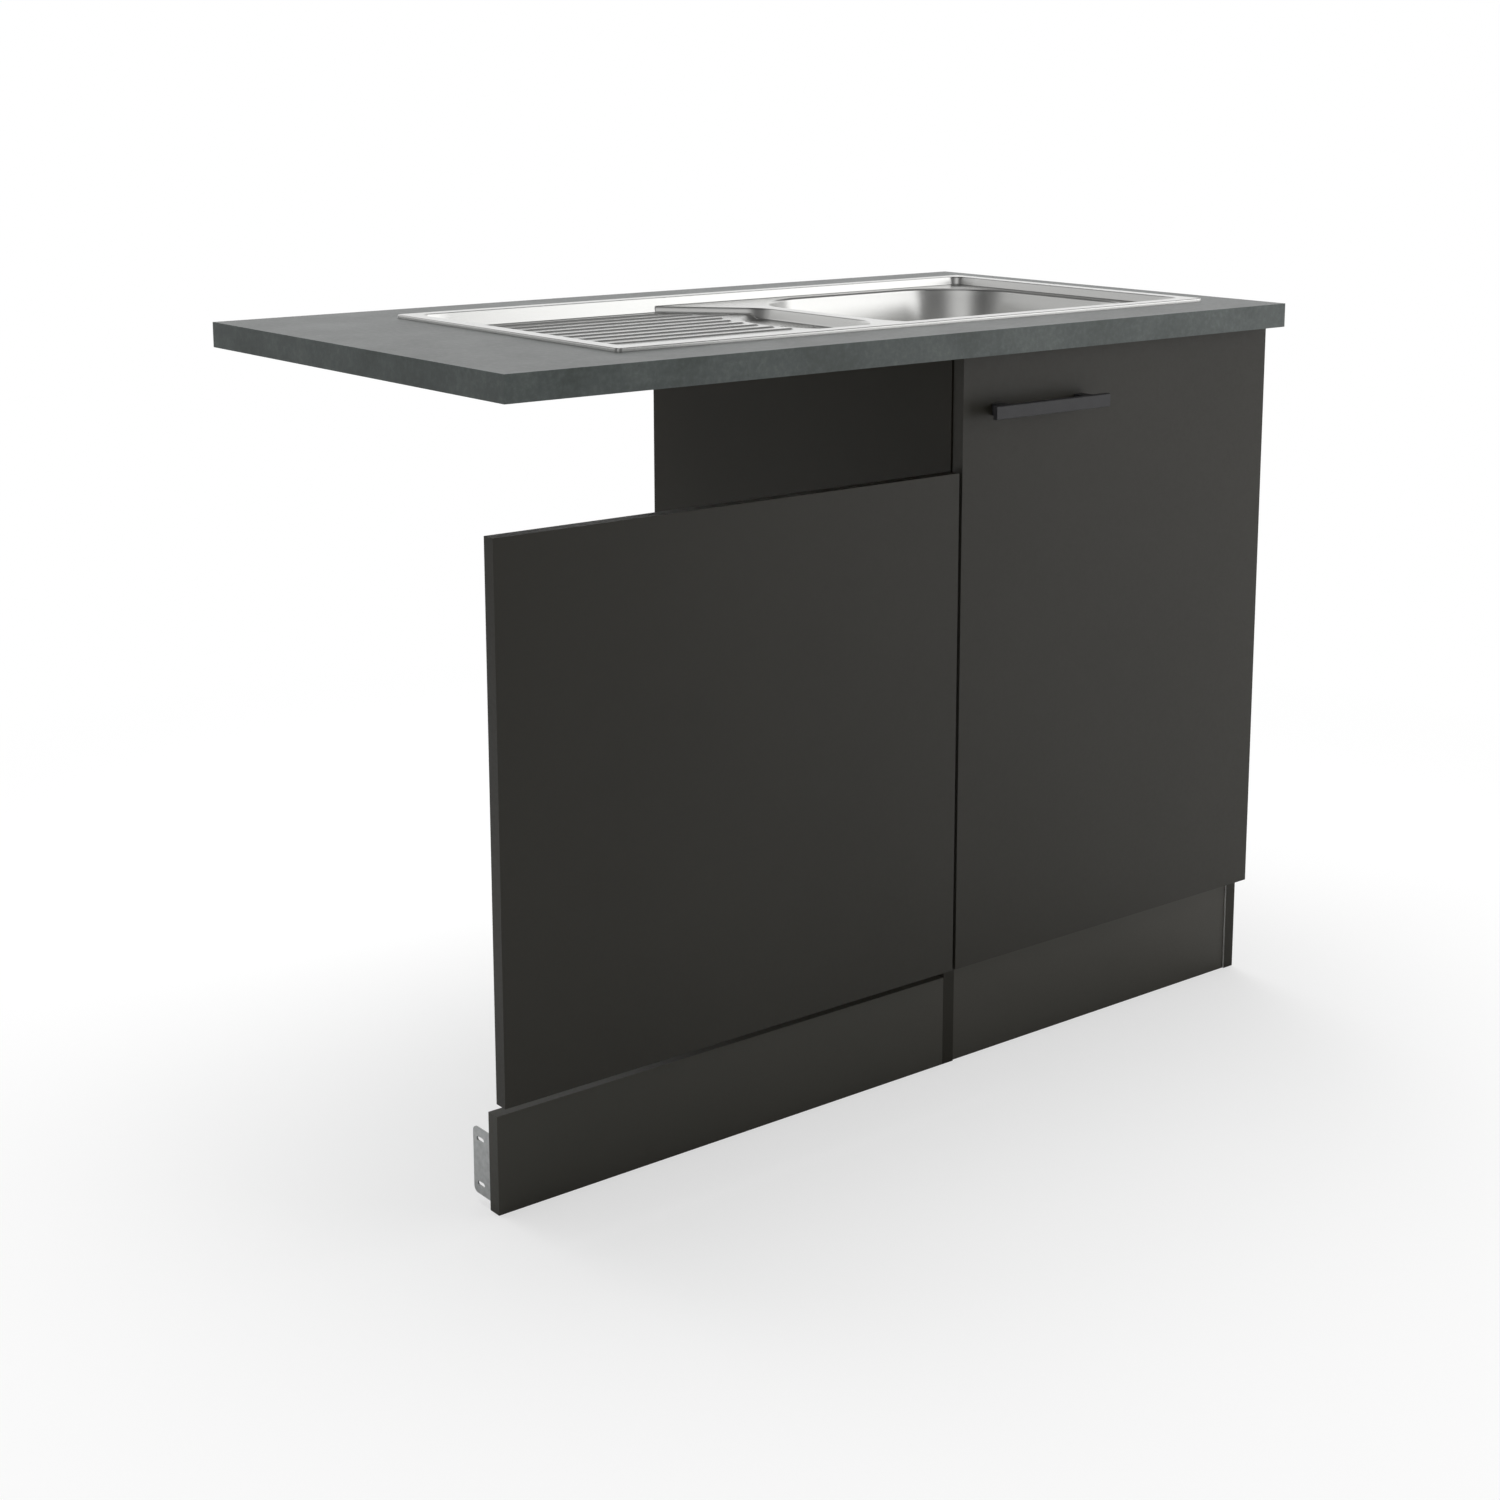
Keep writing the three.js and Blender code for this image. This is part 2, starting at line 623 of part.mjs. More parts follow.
function strainerBasket() {
  const seat = wasteFloor + WASTE_SHEET;
  const rim = BASKET_DIAMETER / 2 + 6;
  const cup = BASKET_DIAMETER / 2 - 4;
  const floor = seat - BASKET_DEPTH;
  const knob = BASKET_KNOB / 2;
  let basket = turned(wasteX, wasteY, [
    [0, floor],
    [cup - 12, floor],
    [cup, floor + 12],
    [cup, seat],
    [rim, seat],
    [rim, seat + WASTE_SHEET],
    [cup - WASTE_SHEET, seat + WASTE_SHEET],
    [cup - WASTE_SHEET, floor + 12],
    [cup - 12, floor + WASTE_SHEET],
    [knob / 2, floor + WASTE_SHEET],
    [knob / 2, floor + BASKET_KNOB_HEIGHT - knob],
    [knob, floor + BASKET_KNOB_HEIGHT - knob / 2],
    [knob / 2, floor + BASKET_KNOB_HEIGHT],
    [0, floor + BASKET_KNOB_HEIGHT],
  ]);
  for (let i = 0; i < BASKET_SLOTS; i += 1) {
    const slot = new THREE.BoxGeometry(16, 3, 4 * WASTE_SHEET);
    slot.translate(cup - 22, 0, floor);
    slot.rotateZ((i * 2 * Math.PI) / BASKET_SLOTS);
    slot.translate(wasteX, wasteY, 0);
    basket = basket.subtract(solid(slot));
  }
  return basket;
}

function overflowPlate() {
  const r = OVERFLOW_DIAMETER / 2;
  let plate = turned(overflowX, sinkMiddle, [
    [0, sumpFloor],
    [r, sumpFloor],
    [r - OVERFLOW_PLATE, sumpFloor + OVERFLOW_PLATE],
    [4, sumpFloor + OVERFLOW_PLATE],
    [3, sumpFloor + 2 * OVERFLOW_PLATE],
    [0, sumpFloor + 2 * OVERFLOW_PLATE],
  ], 24);
  for (let i = 0; i < OVERFLOW_HOLE_COUNT; i += 1) {
    const angle = (i * 2 * Math.PI) / OVERFLOW_HOLE_COUNT;
    const x = overflowX + (r - 10) * Math.cos(angle);
    const y = sinkMiddle + (r - 10) * Math.sin(angle);
    plate = plate.subtract(cylinder(x, y, sumpFloor - 1, sumpFloor + 3, OVERFLOW_HOLE / 2, 8));
  }
  return plate;
}

// A flat housing under the sump carries the overflow across the cabinet side to a short spout.
function overflowHousing() {
  const top = sumpFloor - SHEET;
  const bottom = top - OVERFLOW_DROP;
  const half = OVERFLOW_DIAMETER / 2;
  const spoutX = innerLeft + OVERFLOW_SPOUT / 2 + 1;
  const box = {
    left: overflowX - half,
    right: spoutX + OVERFLOW_SPOUT / 2,
    front: sinkMiddle - half,
    back: sinkMiddle + half,
  };
  const wall = 1.2;
  const inside = prism(roundedShape(inset(box, wall), half - wall), bottom + wall, top + 1);
  const spout = cylinder(spoutX, sinkMiddle, bottom - OVERFLOW_SPOUT_LENGTH, bottom + 1, OVERFLOW_SPOUT / 2, 16);
  const bore = cylinder(spoutX, sinkMiddle, bottom - OVERFLOW_SPOUT_LENGTH - 1, bottom + 2, OVERFLOW_SPOUT / 2 - wall, 16);
  return prism(roundedShape(box, half), bottom, top).add(spout).subtract(inside).subtract(bore);
}

// ---------------------------------------------------------------- carcass

function carcass() {
  add('carcass_side_left', block(cabinetLeft, innerLeft, carcassFront, back, 0, CARCASS_HEIGHT), 'carcass');
  add('carcass_side_right', block(innerRight, right, carcassFront, back, 0, CARCASS_HEIGHT), 'carcass');
  add('carcass_bottom', block(innerLeft, innerRight, carcassFront, back, CARCASS_FLOOR_HEIGHT, bottomTop), 'carcass');
  const railBack = carcassFront + BOARD;
  add('top_rail_front', block(innerLeft, innerRight, carcassFront, railBack,
    CARCASS_HEIGHT - TOP_RAIL_HEIGHT, CARCASS_HEIGHT), 'carcass');
  add('top_rail_back', block(innerLeft, innerRight, back - BOARD, back,
    CARCASS_HEIGHT - BACK_RAIL_HEIGHT, CARCASS_HEIGHT), 'carcass');
  add('low_rail_back', block(innerLeft, innerRight, back - BOARD, back, bottomTop, bottomTop + LOW_RAIL_HEIGHT), 'carcass');
}

// An angle that screws a rail up to the worktop.
function worktopAngle(x, railFace, inward) {
  const x0 = x - ANGLE_WIDTH / 2;
  const x1 = x + ANGLE_WIDTH / 2;
  const sheetEnd = railFace + inward * ANGLE_SHEET;
  const legEnd = railFace + inward * ANGLE_LEG;
  const upright = block(x0, x1, Math.min(railFace, sheetEnd), Math.max(railFace, sheetEnd),
    CARCASS_HEIGHT - ANGLE_LEG, CARCASS_HEIGHT);
  const flat = block(x0, x1, Math.min(railFace, legEnd), Math.max(railFace, legEnd),
    CARCASS_HEIGHT - ANGLE_SHEET, CARCASS_HEIGHT);
  return upright.add(flat);
}

function worktopAngles() {
  const rails = { front: [carcassFront + BOARD, 1], back: [back - BOARD, -1] };
  const places = { left: innerLeft + ANGLE_FROM_SIDE, right: innerRight - ANGLE_FROM_SIDE };
  for (const [rail, [face, inward]] of Object.entries(rails)) {
    for (const [side, x] of Object.entries(places)) {
      add(`worktop_angle_${rail}_${side}`, worktopAngle(x, face, inward), 'zinc');
    }
  }
}

// ---------------------------------------------------------------- fronts and handle

const hingeX = door.right - HINGE_CUP_FROM_EDGE;
const hingeHeights = { lower: door.bottom + HINGE_FROM_END, upper: door.top - HINGE_FROM_END };
const handle = {
  left: door.left + HANDLE_FROM_EDGE,
  right: door.left + HANDLE_FROM_EDGE + HANDLE_LENGTH,
  top: door.top - HANDLE_FROM_TOP,
  bottom: door.top - HANDLE_FROM_TOP - HANDLE_HEIGHT,
};
const handleMiddleX = (handle.left + handle.right) / 2;
const handleMiddleZ = (handle.top + handle.bottom) / 2;
const handleLegs = { left: handleMiddleX - HANDLE_PITCH / 2, right: handleMiddleX + HANDLE_PITCH / 2 };

function doorPanel() {
  let panel = block(door.left, door.right, frontFace, frontBack, door.bottom, door.top);
  for (const z of Object.values(hingeHeights)) {
    const bore = cylinderAlongY(hingeX, z, frontBack - HINGE_CUP_DEPTH - HINGE_PLAY, frontBack + 1,
      HINGE_CUP / 2 + HINGE_PLAY);
    panel = panel.subtract(bore);
  }
  for (const x of Object.values(handleLegs)) {
    const shank = cylinderAlongY(x, handleMiddleZ, frontFace - 1, frontBack + 1, SCREW_SHANK / 2 + SCREW_PLAY, 12);
    const counterbore = cylinderAlongY(x, handleMiddleZ, frontBack - SCREW_HEAD_DEPTH - SCREW_PLAY, frontBack + 1,
      SCREW_HEAD / 2 + SCREW_PLAY, 16);
    panel = panel.subtract(shank).subtract(counterbore);
  }
  return panel;
}

function handleBar() {
  const y0 = frontFace - HANDLE_PROJECTION;
  const e = HANDLE_EDGE;
  const shape = new THREE.Shape([
    new THREE.Vector2(y0 + e, handle.bottom),
    new THREE.Vector2(y0 + HANDLE_BAR, handle.bottom),
    new THREE.Vector2(y0 + HANDLE_BAR, handle.top),
    new THREE.Vector2(y0 + e, handle.top),
    new THREE.Vector2(y0, handle.top - e),
    new THREE.Vector2(y0, handle.bottom + e),
  ]);
  return prismAlongX(shape, handle.left, handle.right);
}

function handleLeg(x) {
  const y0 = frontFace - HANDLE_PROJECTION + HANDLE_BAR;
  const body = block(x - HANDLE_LEG / 2, x + HANDLE_LEG / 2, y0, frontFace, handle.bottom + 1, handle.top - 1);
  const thread = cylinderAlongY(x, handleMiddleZ, frontFace - SCREW_IN_LEG - 1, frontFace + 1,
    SCREW_SHANK / 2 + SCREW_PLAY, 12);
  return body.subtract(thread);
}

function handleScrew(x) {
  const headFace = frontBack - SCREW_HEAD_DEPTH;
  const shank = cylinderAlongY(x, handleMiddleZ, frontFace - SCREW_IN_LEG, headFace + 1, SCREW_SHANK / 2, 12);
  const head = cylinderAlongY(x, handleMiddleZ, headFace, frontBack, SCREW_HEAD / 2, 16);
  return shank.add(head);
}

function dishwasherFront() {
  return block(left + DISHWASHER_REVEAL_LEFT, cabinetLeft - DISHWASHER_REVEAL_RIGHT, frontFace, frontBack,
    FRONTS_ABOVE_FLOOR, FRONTS_ABOVE_FLOOR + DISHWASHER_FRONT_HEIGHT);
}

// ---------------------------------------------------------------- hinges

// The cup sits in the door, with a flange on the door's back.
function hingeCup(z) {
  const bottom = frontBack - HINGE_CUP_DEPTH;
  const flangeBox = {
    left: hingeX - HINGE_FLANGE_WIDTH / 2,
    right: hingeX + HINGE_FLANGE_WIDTH / 2,
    front: z - HINGE_FLANGE_HEIGHT / 2,
    back: z + HINGE_FLANGE_HEIGHT / 2,
  };
  const r = HINGE_CUP / 2;
  const flange = prismAlongY(roundedShape(flangeBox, 5), frontBack, frontBack + HINGE_CUP_SHEET);
  const mouth = cylinderAlongY(hingeX, z, bottom, frontBack + HINGE_CUP_SHEET, r);
  const hollow = cylinderAlongY(hingeX, z, bottom + HINGE_CUP_SHEET, frontBack + HINGE_CUP_SHEET + 1, r - HINGE_CUP_SHEET);
  return flange.add(mouth).subtract(hollow);
}

const armRight = innerRight - HINGE_PLATE_THICK;
const armTip = frontBack - HINGE_ARM_REACH;

// The arm is a channel, open towards the cabinet side, whose end dips into the cup.
function hingeArm(z) {
  const x0 = armRight - HINGE_ARM_WIDTH;
  const z0 = z - HINGE_ARM_HEIGHT / 2;
  const z1 = z + HINGE_ARM_HEIGHT / 2;
  const body = block(x0, armRight, armTip, armTip + HINGE_ARM_LENGTH, z0, z1);
  const channel = block(x0 + HINGE_ARM_SHEET, armRight + 1, armTip + HINGE_ARM_WIDTH, armTip + HINGE_ARM_LENGTH + 1,
    z0 + HINGE_ARM_SHEET, z1 - HINGE_ARM_SHEET);
  return body.subtract(channel);
}

function hingePlate(z) {
  const line = carcassFront + HINGE_PLATE_LINE;
  const half = HINGE_PLATE_WIDTH / 2;
  const body = block(armRight, innerRight, line - half, line + half, z - HINGE_PLATE_NECK / 2, z + HINGE_PLATE_NECK / 2);
  const wings = block(armRight + 2, innerRight, line - HINGE_PLATE_NECK / 2, line + HINGE_PLATE_NECK / 2,
    z - HINGE_PLATE_HEIGHT / 2, z + HINGE_PLATE_HEIGHT / 2);
  return body.add(wings);
}

function hinges() {
  for (const [place, z] of Object.entries(hingeHeights)) {
    add(`hinge_cup_${place}`, hingeCup(z), 'nickel');
    add(`hinge_arm_${place}`, hingeArm(z), 'nickel');
    add(`hinge_plate_${place}`, hingePlate(z), 'nickel');
  }
}

function doorBuffers() {
  const x = cabinetLeft + BOARD / 2;
  const heights = { lower: door.bottom + BUFFER_FROM_END, upper: door.top - BUFFER_FROM_END };
  for (const [place, z] of Object.entries(heights)) {
    add(`door_buffer_${place}`,
      cylinderAlongY(x, z, carcassFront - BUFFER_THICK, carcassFront, BUFFER_DIAMETER / 2, 16), 'clear');
  }
}

// ---------------------------------------------------------------- plinths and brackets

const nichePlinth = { left: left + NICHE_PLINTH_INSET, right: cabinetLeft - PLINTH_PLAY };
const plinthBack = carcassFront + PLINTH_THICK;

function plinths() {
  add('plinth_niche', block(nichePlinth.left, nichePlinth.right, carcassFront, plinthBack,
    0, NICHE_PLINTH_HEIGHT), 'front');
  const y0 = carcassFront + CABINET_PLINTH_SETBACK;
  add('plinth_cabinet', block(innerLeft + PLINTH_PLAY, innerRight - PLINTH_PLAY, y0, y0 + PLINTH_THICK,
    0, CARCASS_FLOOR_HEIGHT - PLINTH_PLAY), 'front');
}

// An angle behind the plinth: one leg on the board, the other, with two slots, square to it.
function plinthBracket(outerX, inward) {
  const z0 = BRACKET_ABOVE_FLOOR;
  const z1 = z0 + BRACKET_HEIGHT;
  const y1 = plinthBack + BRACKET_LEG;
  const c = BRACKET_CORNER;
  const sheetX = outerX + inward * BRACKET_SHEET;
  const side = new THREE.Shape();
  side.moveTo(plinthBack, z0);
  side.lineTo(y1 - c, z0);
  side.absarc(y1 - c, z0 + c, c, -Math.PI / 2, 0);
  side.absarc(y1 - c, z1 - c, c, 0, Math.PI / 2);
  side.lineTo(plinthBack, z1);
  let bracket = prismAlongX(side, Math.min(outerX, sheetX), Math.max(outerX, sheetX));
  const legEnd = outerX + inward * BRACKET_LEG;
  bracket = bracket.add(block(Math.min(outerX, legEnd), Math.max(outerX, legEnd),
    plinthBack, plinthBack + BRACKET_SHEET, z0, z1));
  const slotY = plinthBack + BRACKET_LEG / 2 + BRACKET_SHEET;
  const middle = (z0 + z1) / 2;
  for (const z of [middle - SLOT_PITCH / 2, middle + SLOT_PITCH / 2]) {
    const slotBox = {
      left: slotY - SLOT_LENGTH / 2,
      right: slotY + SLOT_LENGTH / 2,
      front: z - SLOT_WIDTH / 2,
      back: z + SLOT_WIDTH / 2,
    };
    const reach = [outerX - 2 * BRACKET_SHEET, outerX + 2 * BRACKET_SHEET];
    bracket = bracket.subtract(prismAlongX(roundedShape(slotBox, SLOT_WIDTH / 2 - 0.05), reach[0], reach[1]));
  }
  return bracket;
}

function plinthBrackets() {
  const places = { left: [nichePlinth.left, 1], right: [nichePlinth.right, -1] };
  const middle = BRACKET_ABOVE_FLOOR + BRACKET_HEIGHT / 2;
  for (const [place, [x, inward]] of Object.entries(places)) {
    add(`plinth_bracket_${place}`, plinthBracket(x, inward), 'zinc');
    const screwX = x + inward * (BRACKET_LEG / 2 + BRACKET_SHEET);
    const head = plinthBack + BRACKET_SHEET;
    add(`plinth_screw_${place}`,
      cylinderAlongY(screwX, middle, head, head + BRACKET_SCREW_RISE, BRACKET_SCREW_HEAD / 2, 16), 'zinc');
  }
}

// ---------------------------------------------------------------- the unit

worktop();
add('sink', sinkShell(), 'steel');
add('sink_seal', sinkSeal(), 'rubber');
sinkClamps();
add('waste_flange', wasteFlange(), 'steel');
add('waste_gasket', wasteGasket(), 'rubber');
add('waste_body', wasteBody(), 'plastic');
add('strainer_basket', strainerBasket(), 'steel');
add('overflow_plate', overflowPlate(), 'steel');
add('overflow_housing', overflowHousing(), 'plastic');
carcass();
worktopAngles();
add('door', doorPanel(), 'front');
add('handle_bar', handleBar(), 'black');
for (const [side, x] of Object.entries(handleLegs)) {
  add(`handle_leg_${side}`, handleLeg(x), 'black');
  add(`handle_screw_${side}`, handleScrew(x), 'zinc');
}
hinges();
doorBuffers();
add('dishwasher_front', dishwasherFront(), 'front');
plinths();
plinthBrackets();

export default group;
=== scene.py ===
import math

import bmesh
import bpy
import numpy as np
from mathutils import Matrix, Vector
from mathutils.geometry import delaunay_2d_cdt


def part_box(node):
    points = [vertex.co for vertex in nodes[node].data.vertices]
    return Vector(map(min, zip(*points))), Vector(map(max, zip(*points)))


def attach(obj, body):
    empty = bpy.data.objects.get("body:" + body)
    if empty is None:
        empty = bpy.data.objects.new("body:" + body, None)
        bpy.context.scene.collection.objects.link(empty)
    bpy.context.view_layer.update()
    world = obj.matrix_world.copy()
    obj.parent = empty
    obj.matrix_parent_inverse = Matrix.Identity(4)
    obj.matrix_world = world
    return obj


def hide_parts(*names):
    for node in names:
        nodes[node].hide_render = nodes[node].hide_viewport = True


MM = 0.001

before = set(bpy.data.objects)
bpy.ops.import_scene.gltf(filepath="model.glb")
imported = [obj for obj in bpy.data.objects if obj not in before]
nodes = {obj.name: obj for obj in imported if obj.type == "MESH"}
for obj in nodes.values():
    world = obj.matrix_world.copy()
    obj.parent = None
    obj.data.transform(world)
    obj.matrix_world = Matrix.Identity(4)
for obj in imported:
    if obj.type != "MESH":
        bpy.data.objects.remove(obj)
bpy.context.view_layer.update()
scene = bpy.context.scene


# ---------------------------------------------------------------- node helpers


def linear(code):
    """An sRGB hex code as the linear colour that Blender's sockets take."""
    channels = [int(code[i:i + 2], 16) / 255 for i in (1, 3, 5)]
    bent = [c / 12.92 if c <= 0.04045 else ((c + 0.055) / 1.055) ** 2.4 for c in channels]
    return (*bent, 1.0)


def add_node(tree, kind, links=None, sockets=None, **settings):
    """A new node with its settings, its sockets' values and the links that come into it."""
    node = tree.nodes.new(kind)
    for key, value in settings.items():
        setattr(node, key, value)
    for key, value in (sockets or {}).items():
        node.inputs[key].default_value = value
    for key, source in (links or {}).items():
        tree.links.new(source, node.inputs[key])
    return node


def fill_ramp(node, stops):
    """Gives a colour ramp its (position, linear colour) stops, and hands back its output."""
    elements = node.color_ramp.elements
    while len(elements) < len(stops):
        elements.new(0.5)
    for element, (position, colour) in zip(elements, stops):
        element.position = position
        element.color = colour
    return node.outputs["Color"]


SOCKETS = {"metallic": "Metallic", "specular": "Specular IOR Level"}


class Surface:
    """A node material under construction, with its Principled shader ready."""

    def __init__(self, name, colour, roughness, **sockets):
        self.material = bpy.data.materials.new(name)
        self.material.use_nodes = True
        self.tree = self.material.node_tree
        self.shader = self.tree.nodes["Principled BSDF"]
        self.shader.inputs["Base Color"].default_value = linear(colour)
        self.shader.inputs["Roughness"].default_value = roughness
        for socket, value in sockets.items():
            self.shader.inputs[SOCKETS[socket]].default_value = value

    def add(self, kind, links=None, sockets=None, **settings):
        return add_node(self.tree, kind, links, sockets, **settings)

    def noise(self, scale, detail=3.0, rough=0.55, stretch=(1, 1, 1)):
        """Noise over the piece's own coordinates; scale counts features per metre."""
        place = self.add("ShaderNodeTexCoord").outputs["Object"]
        spread = self.add("ShaderNodeMapping", {"Vector": place}, {"Scale": stretch}).outputs[0]
        return self.add("ShaderNodeTexNoise", {"Vector": spread},
                        {"Scale": scale, "Detail": detail, "Roughness": rough}).outputs["Fac"]

    def ramp(self, value, *stops):
        """A colour ramp through (position, sRGB code) stops."""
        node = self.add("ShaderNodeValToRGB", {"Fac": value})
        return fill_ramp(node, [(position, linear(code)) for position, code in stops])

    def range(self, value, low, high, start=0.3, end=0.7):
        """A value stretched so that start becomes low and end becomes high."""
        return self.add("ShaderNodeMapRange", {"Value": value},
                        {"From Min": start, "From Max": end, "To Min": low, "To Max": high}).outputs[0]

    def mix(self, amount, first, second, blend="MIX"):
        """Two colours mixed by an amount, each of the three a plain value or another node's output."""
        node = self.add("ShaderNodeMix", data_type="RGBA", blend_type=blend)
        for index, source in ((0, amount), (6, first), (7, second)):
            if hasattr(source, "is_output"):
                self.tree.links.new(source, node.inputs[index])
            else:
                node.inputs[index].default_value = source
        return node.outputs[2]

    def bump(self, height, distance, strength):
        """Fine relief, distance metres deep at full strength."""
        node = self.add("ShaderNodeBump", {"Height": height},
                        {"Distance": distance, "Strength": strength})
        self.tree.links.new(node.outputs[0], self.shader.inputs["Normal"])

    def drive(self, socket, source):
        self.tree.links.new(source, self.shader.inputs[socket])


# ---------------------------------------------------------------- finishes


def melamine(name, dark, light, roughness=0.46):
    """Melamine-faced chipboard, plain matt decor pressed with a fine pearl texture: it gives an even
    dark field that breaks the highlight softly and is a touch uneven in gloss."""
    made = Surface(name, dark, roughness, specular=0.3)
    cloud = made.noise(3.0, 2.0)
    made.drive("Base Color", made.ramp(cloud, (0.3, dark), (0.7, light)))
    made.drive("Roughness", made.range(made.noise(240, 2.0), roughness - 0.03, roughness + 0.04))
    made.bump(made.noise(2600, 2.0), 0.00004, 0.35)
    return made.material


def concrete_laminate(name, dark, mid, pale, roughness):
    """High-pressure laminate in a concrete decor, satin: broad clouds, small blots and sparse dark
    pores printed under a smooth film."""
    made = Surface(name, mid, roughness, specular=0.4)
    clouds = made.noise(14.0, 5.0, 0.6)
    blots = made.noise(150.0, 5.0, 0.65)
    ground = made.ramp(clouds, (0.34, dark), (0.52, mid), (0.7, pale))
    speckle = made.ramp(blots, (0.33, "#9a9a9a"), (0.5, "#c4c4c4"), (0.68, "#ffffff"))
    toned = made.mix(0.55, ground, speckle, "MULTIPLY")
    pores = made.ramp(made.noise(420.0, 2.0), (0.24, "#5c5c5c"), (0.33, "#ffffff"))
    made.drive("Base Color", made.mix(0.6, toned, pores, "MULTIPLY"))
    made.drive("Roughness", made.range(blots, roughness - 0.04, roughness + 0.05))
    made.bump(made.noise(900.0, 3.0), 0.00003, 0.5)
    return made.material


def brushed_steel(name, stretch, roughness=0.27):
    """Brushed stainless steel, deep drawn: a bright neutral metal whose fine grinding lines run
    along one way and blur reflections across it."""
    made = Surface(name, "#d8d8d6", roughness, metallic=1.0)
    lines = made.noise(900.0, 3.0, 0.6, stretch)
    made.drive("Roughness", made.range(lines, roughness - 0.05, roughness + 0.07))
    made.drive("Base Color", made.ramp(lines, (0.3, "#d0d0ce"), (0.7, "#e0e0de")))
    made.bump(lines, 0.000012, 0.5)
    return made.material


def plated(name, dark, light, roughness, bloom_gloss):
    """Zinc- or nickel-plated pressed steel: zinc has a crystalline bloom that varies its gloss, and
    nickel is even and brighter."""
    made = Surface(name, dark, roughness, metallic=1.0)
    bloom = made.noise(160.0, 4.0, 0.6)
    made.drive("Base Color", made.ramp(bloom, (0.3, dark), (0.7, light)))
    made.drive("Roughness", made.range(bloom, roughness, roughness + bloom_gloss))
    return made.material


def moulded(name, dark, light, roughness):
    """Injection-moulded plastic or rubber: even colour, the soft gloss of a fine spark-eroded tool."""
    made = Surface(name, dark, roughness)
    made.drive("Base Color", made.ramp(made.noise(45.0, 2.0), (0.3, dark), (0.7, light)))
    made.bump(made.noise(1800.0, 2.0), 0.00003, 0.5)
    return made.material


front_decor = melamine("anthracite_melamine_front", "#26241d", "#2a2821")
# The plinths carry the fronts' anthracite decor painted lighter. This is painted light, standing in for
# the light they lose in the shade under the door and carcass.
plinth_decor_painted_lighter = melamine("anthracite_melamine_plinth_painted_lighter", "#3b3a34", "#3f3d37")
worktop_decor = concrete_laminate("concrete_laminate", "#444746", "#4c4f4e", "#565958", 0.4)
edging_decor = concrete_laminate("concrete_edging", "#4b5350", "#565e5c", "#626a67", 0.42)
sink_steel = brushed_steel("brushed_steel_sink", (1, 30, 30))
turned_steel = brushed_steel("turned_steel_waste", (8, 8, 40), 0.22)
zinc = plated("zinc_plated_steel", "#a9abab", "#c3c5c5", 0.28, 0.16)
nickel = plated("nickel_plated_steel", "#c4c2bd", "#cbc9c4", 0.26, 0.03)
buffer_rubber = moulded("black_rubber_seal", "#161616", "#1f1f1f", 0.7)
waste_plastic = moulded("white_polypropylene", "#dcdcd9", "#e8e8e5", 0.38)
buffer_plastic = moulded("clear_buffer_plastic", "#c9ccca", "#d8dbd9", 0.2)


def handle_coating():
    """Powder-coated aluminium, anthracite, matt with a fine orange peel that softens the edges'
    highlights."""
    made = Surface("anthracite_powder_coat", "#2f2f31", 0.42, specular=0.3)
    made.drive("Base Color", made.ramp(made.noise(60.0, 2.0), (0.3, "#2d2d2f"), (0.7, "#323234")))
    made.bump(made.noise(1500.0, 2.0), 0.00004, 0.5)
    return made.material


handle_paint = handle_coating()


def two_sided_board(name, outward):
    """Melamine-faced chipboard with the anthracite decor outside and on the edges and a light grey
    lining inside; outward is the sign of the outer face's normal along X."""
    made = Surface(name, "#302f2b", 0.46, specular=0.15)
    facing = made.add("ShaderNodeSeparateXYZ",
                      {"Vector": made.add("ShaderNodeNewGeometry").outputs["Normal"]}).outputs["X"]
    lining = made.add("ShaderNodeMath", {0: facing}, {1: -0.7 * outward},
                      operation="LESS_THAN" if outward > 0 else "GREATER_THAN").outputs[0]
    tone = made.noise(3.0, 2.0)
    decor = made.ramp(tone, (0.3, "#26241e"), (0.7, "#292721"))
    inner = made.ramp(tone, (0.3, "#c9c9c6"), (0.7, "#d0d0cd"))
    made.drive("Base Color", made.mix(lining, decor, inner))
    made.bump(made.noise(2600, 2.0), 0.00004, 0.35)
    return made.material


def lined_board():
    """Light grey melamine-faced chipboard, as inside the cabinet."""
    return melamine("light_grey_melamine_lining", "#c9c9c6", "#d0d0cd", 0.44)


# ---------------------------------------------------------------- model's nodes with their finishes


def finish_nodes(names, material, bevel=0.0):
    for name in names:
        node = nodes[name]
        node.data.materials.clear()
        node.data.materials.append(material)
        if bevel:
            round_edges(node, bevel)


def round_edges(piece, width, segments=2):
    """Breaks the sharp edges of a board or a pressed part, as a maker does."""
    bevel = piece.modifiers.new("broken_edges", "BEVEL")
    bevel.width = width * MM
    bevel.segments = segments
    bevel.limit_method = "ANGLE"
    bevel.harden_normals = True


finish_nodes(["door", "dishwasher_front"], front_decor, 0.7)
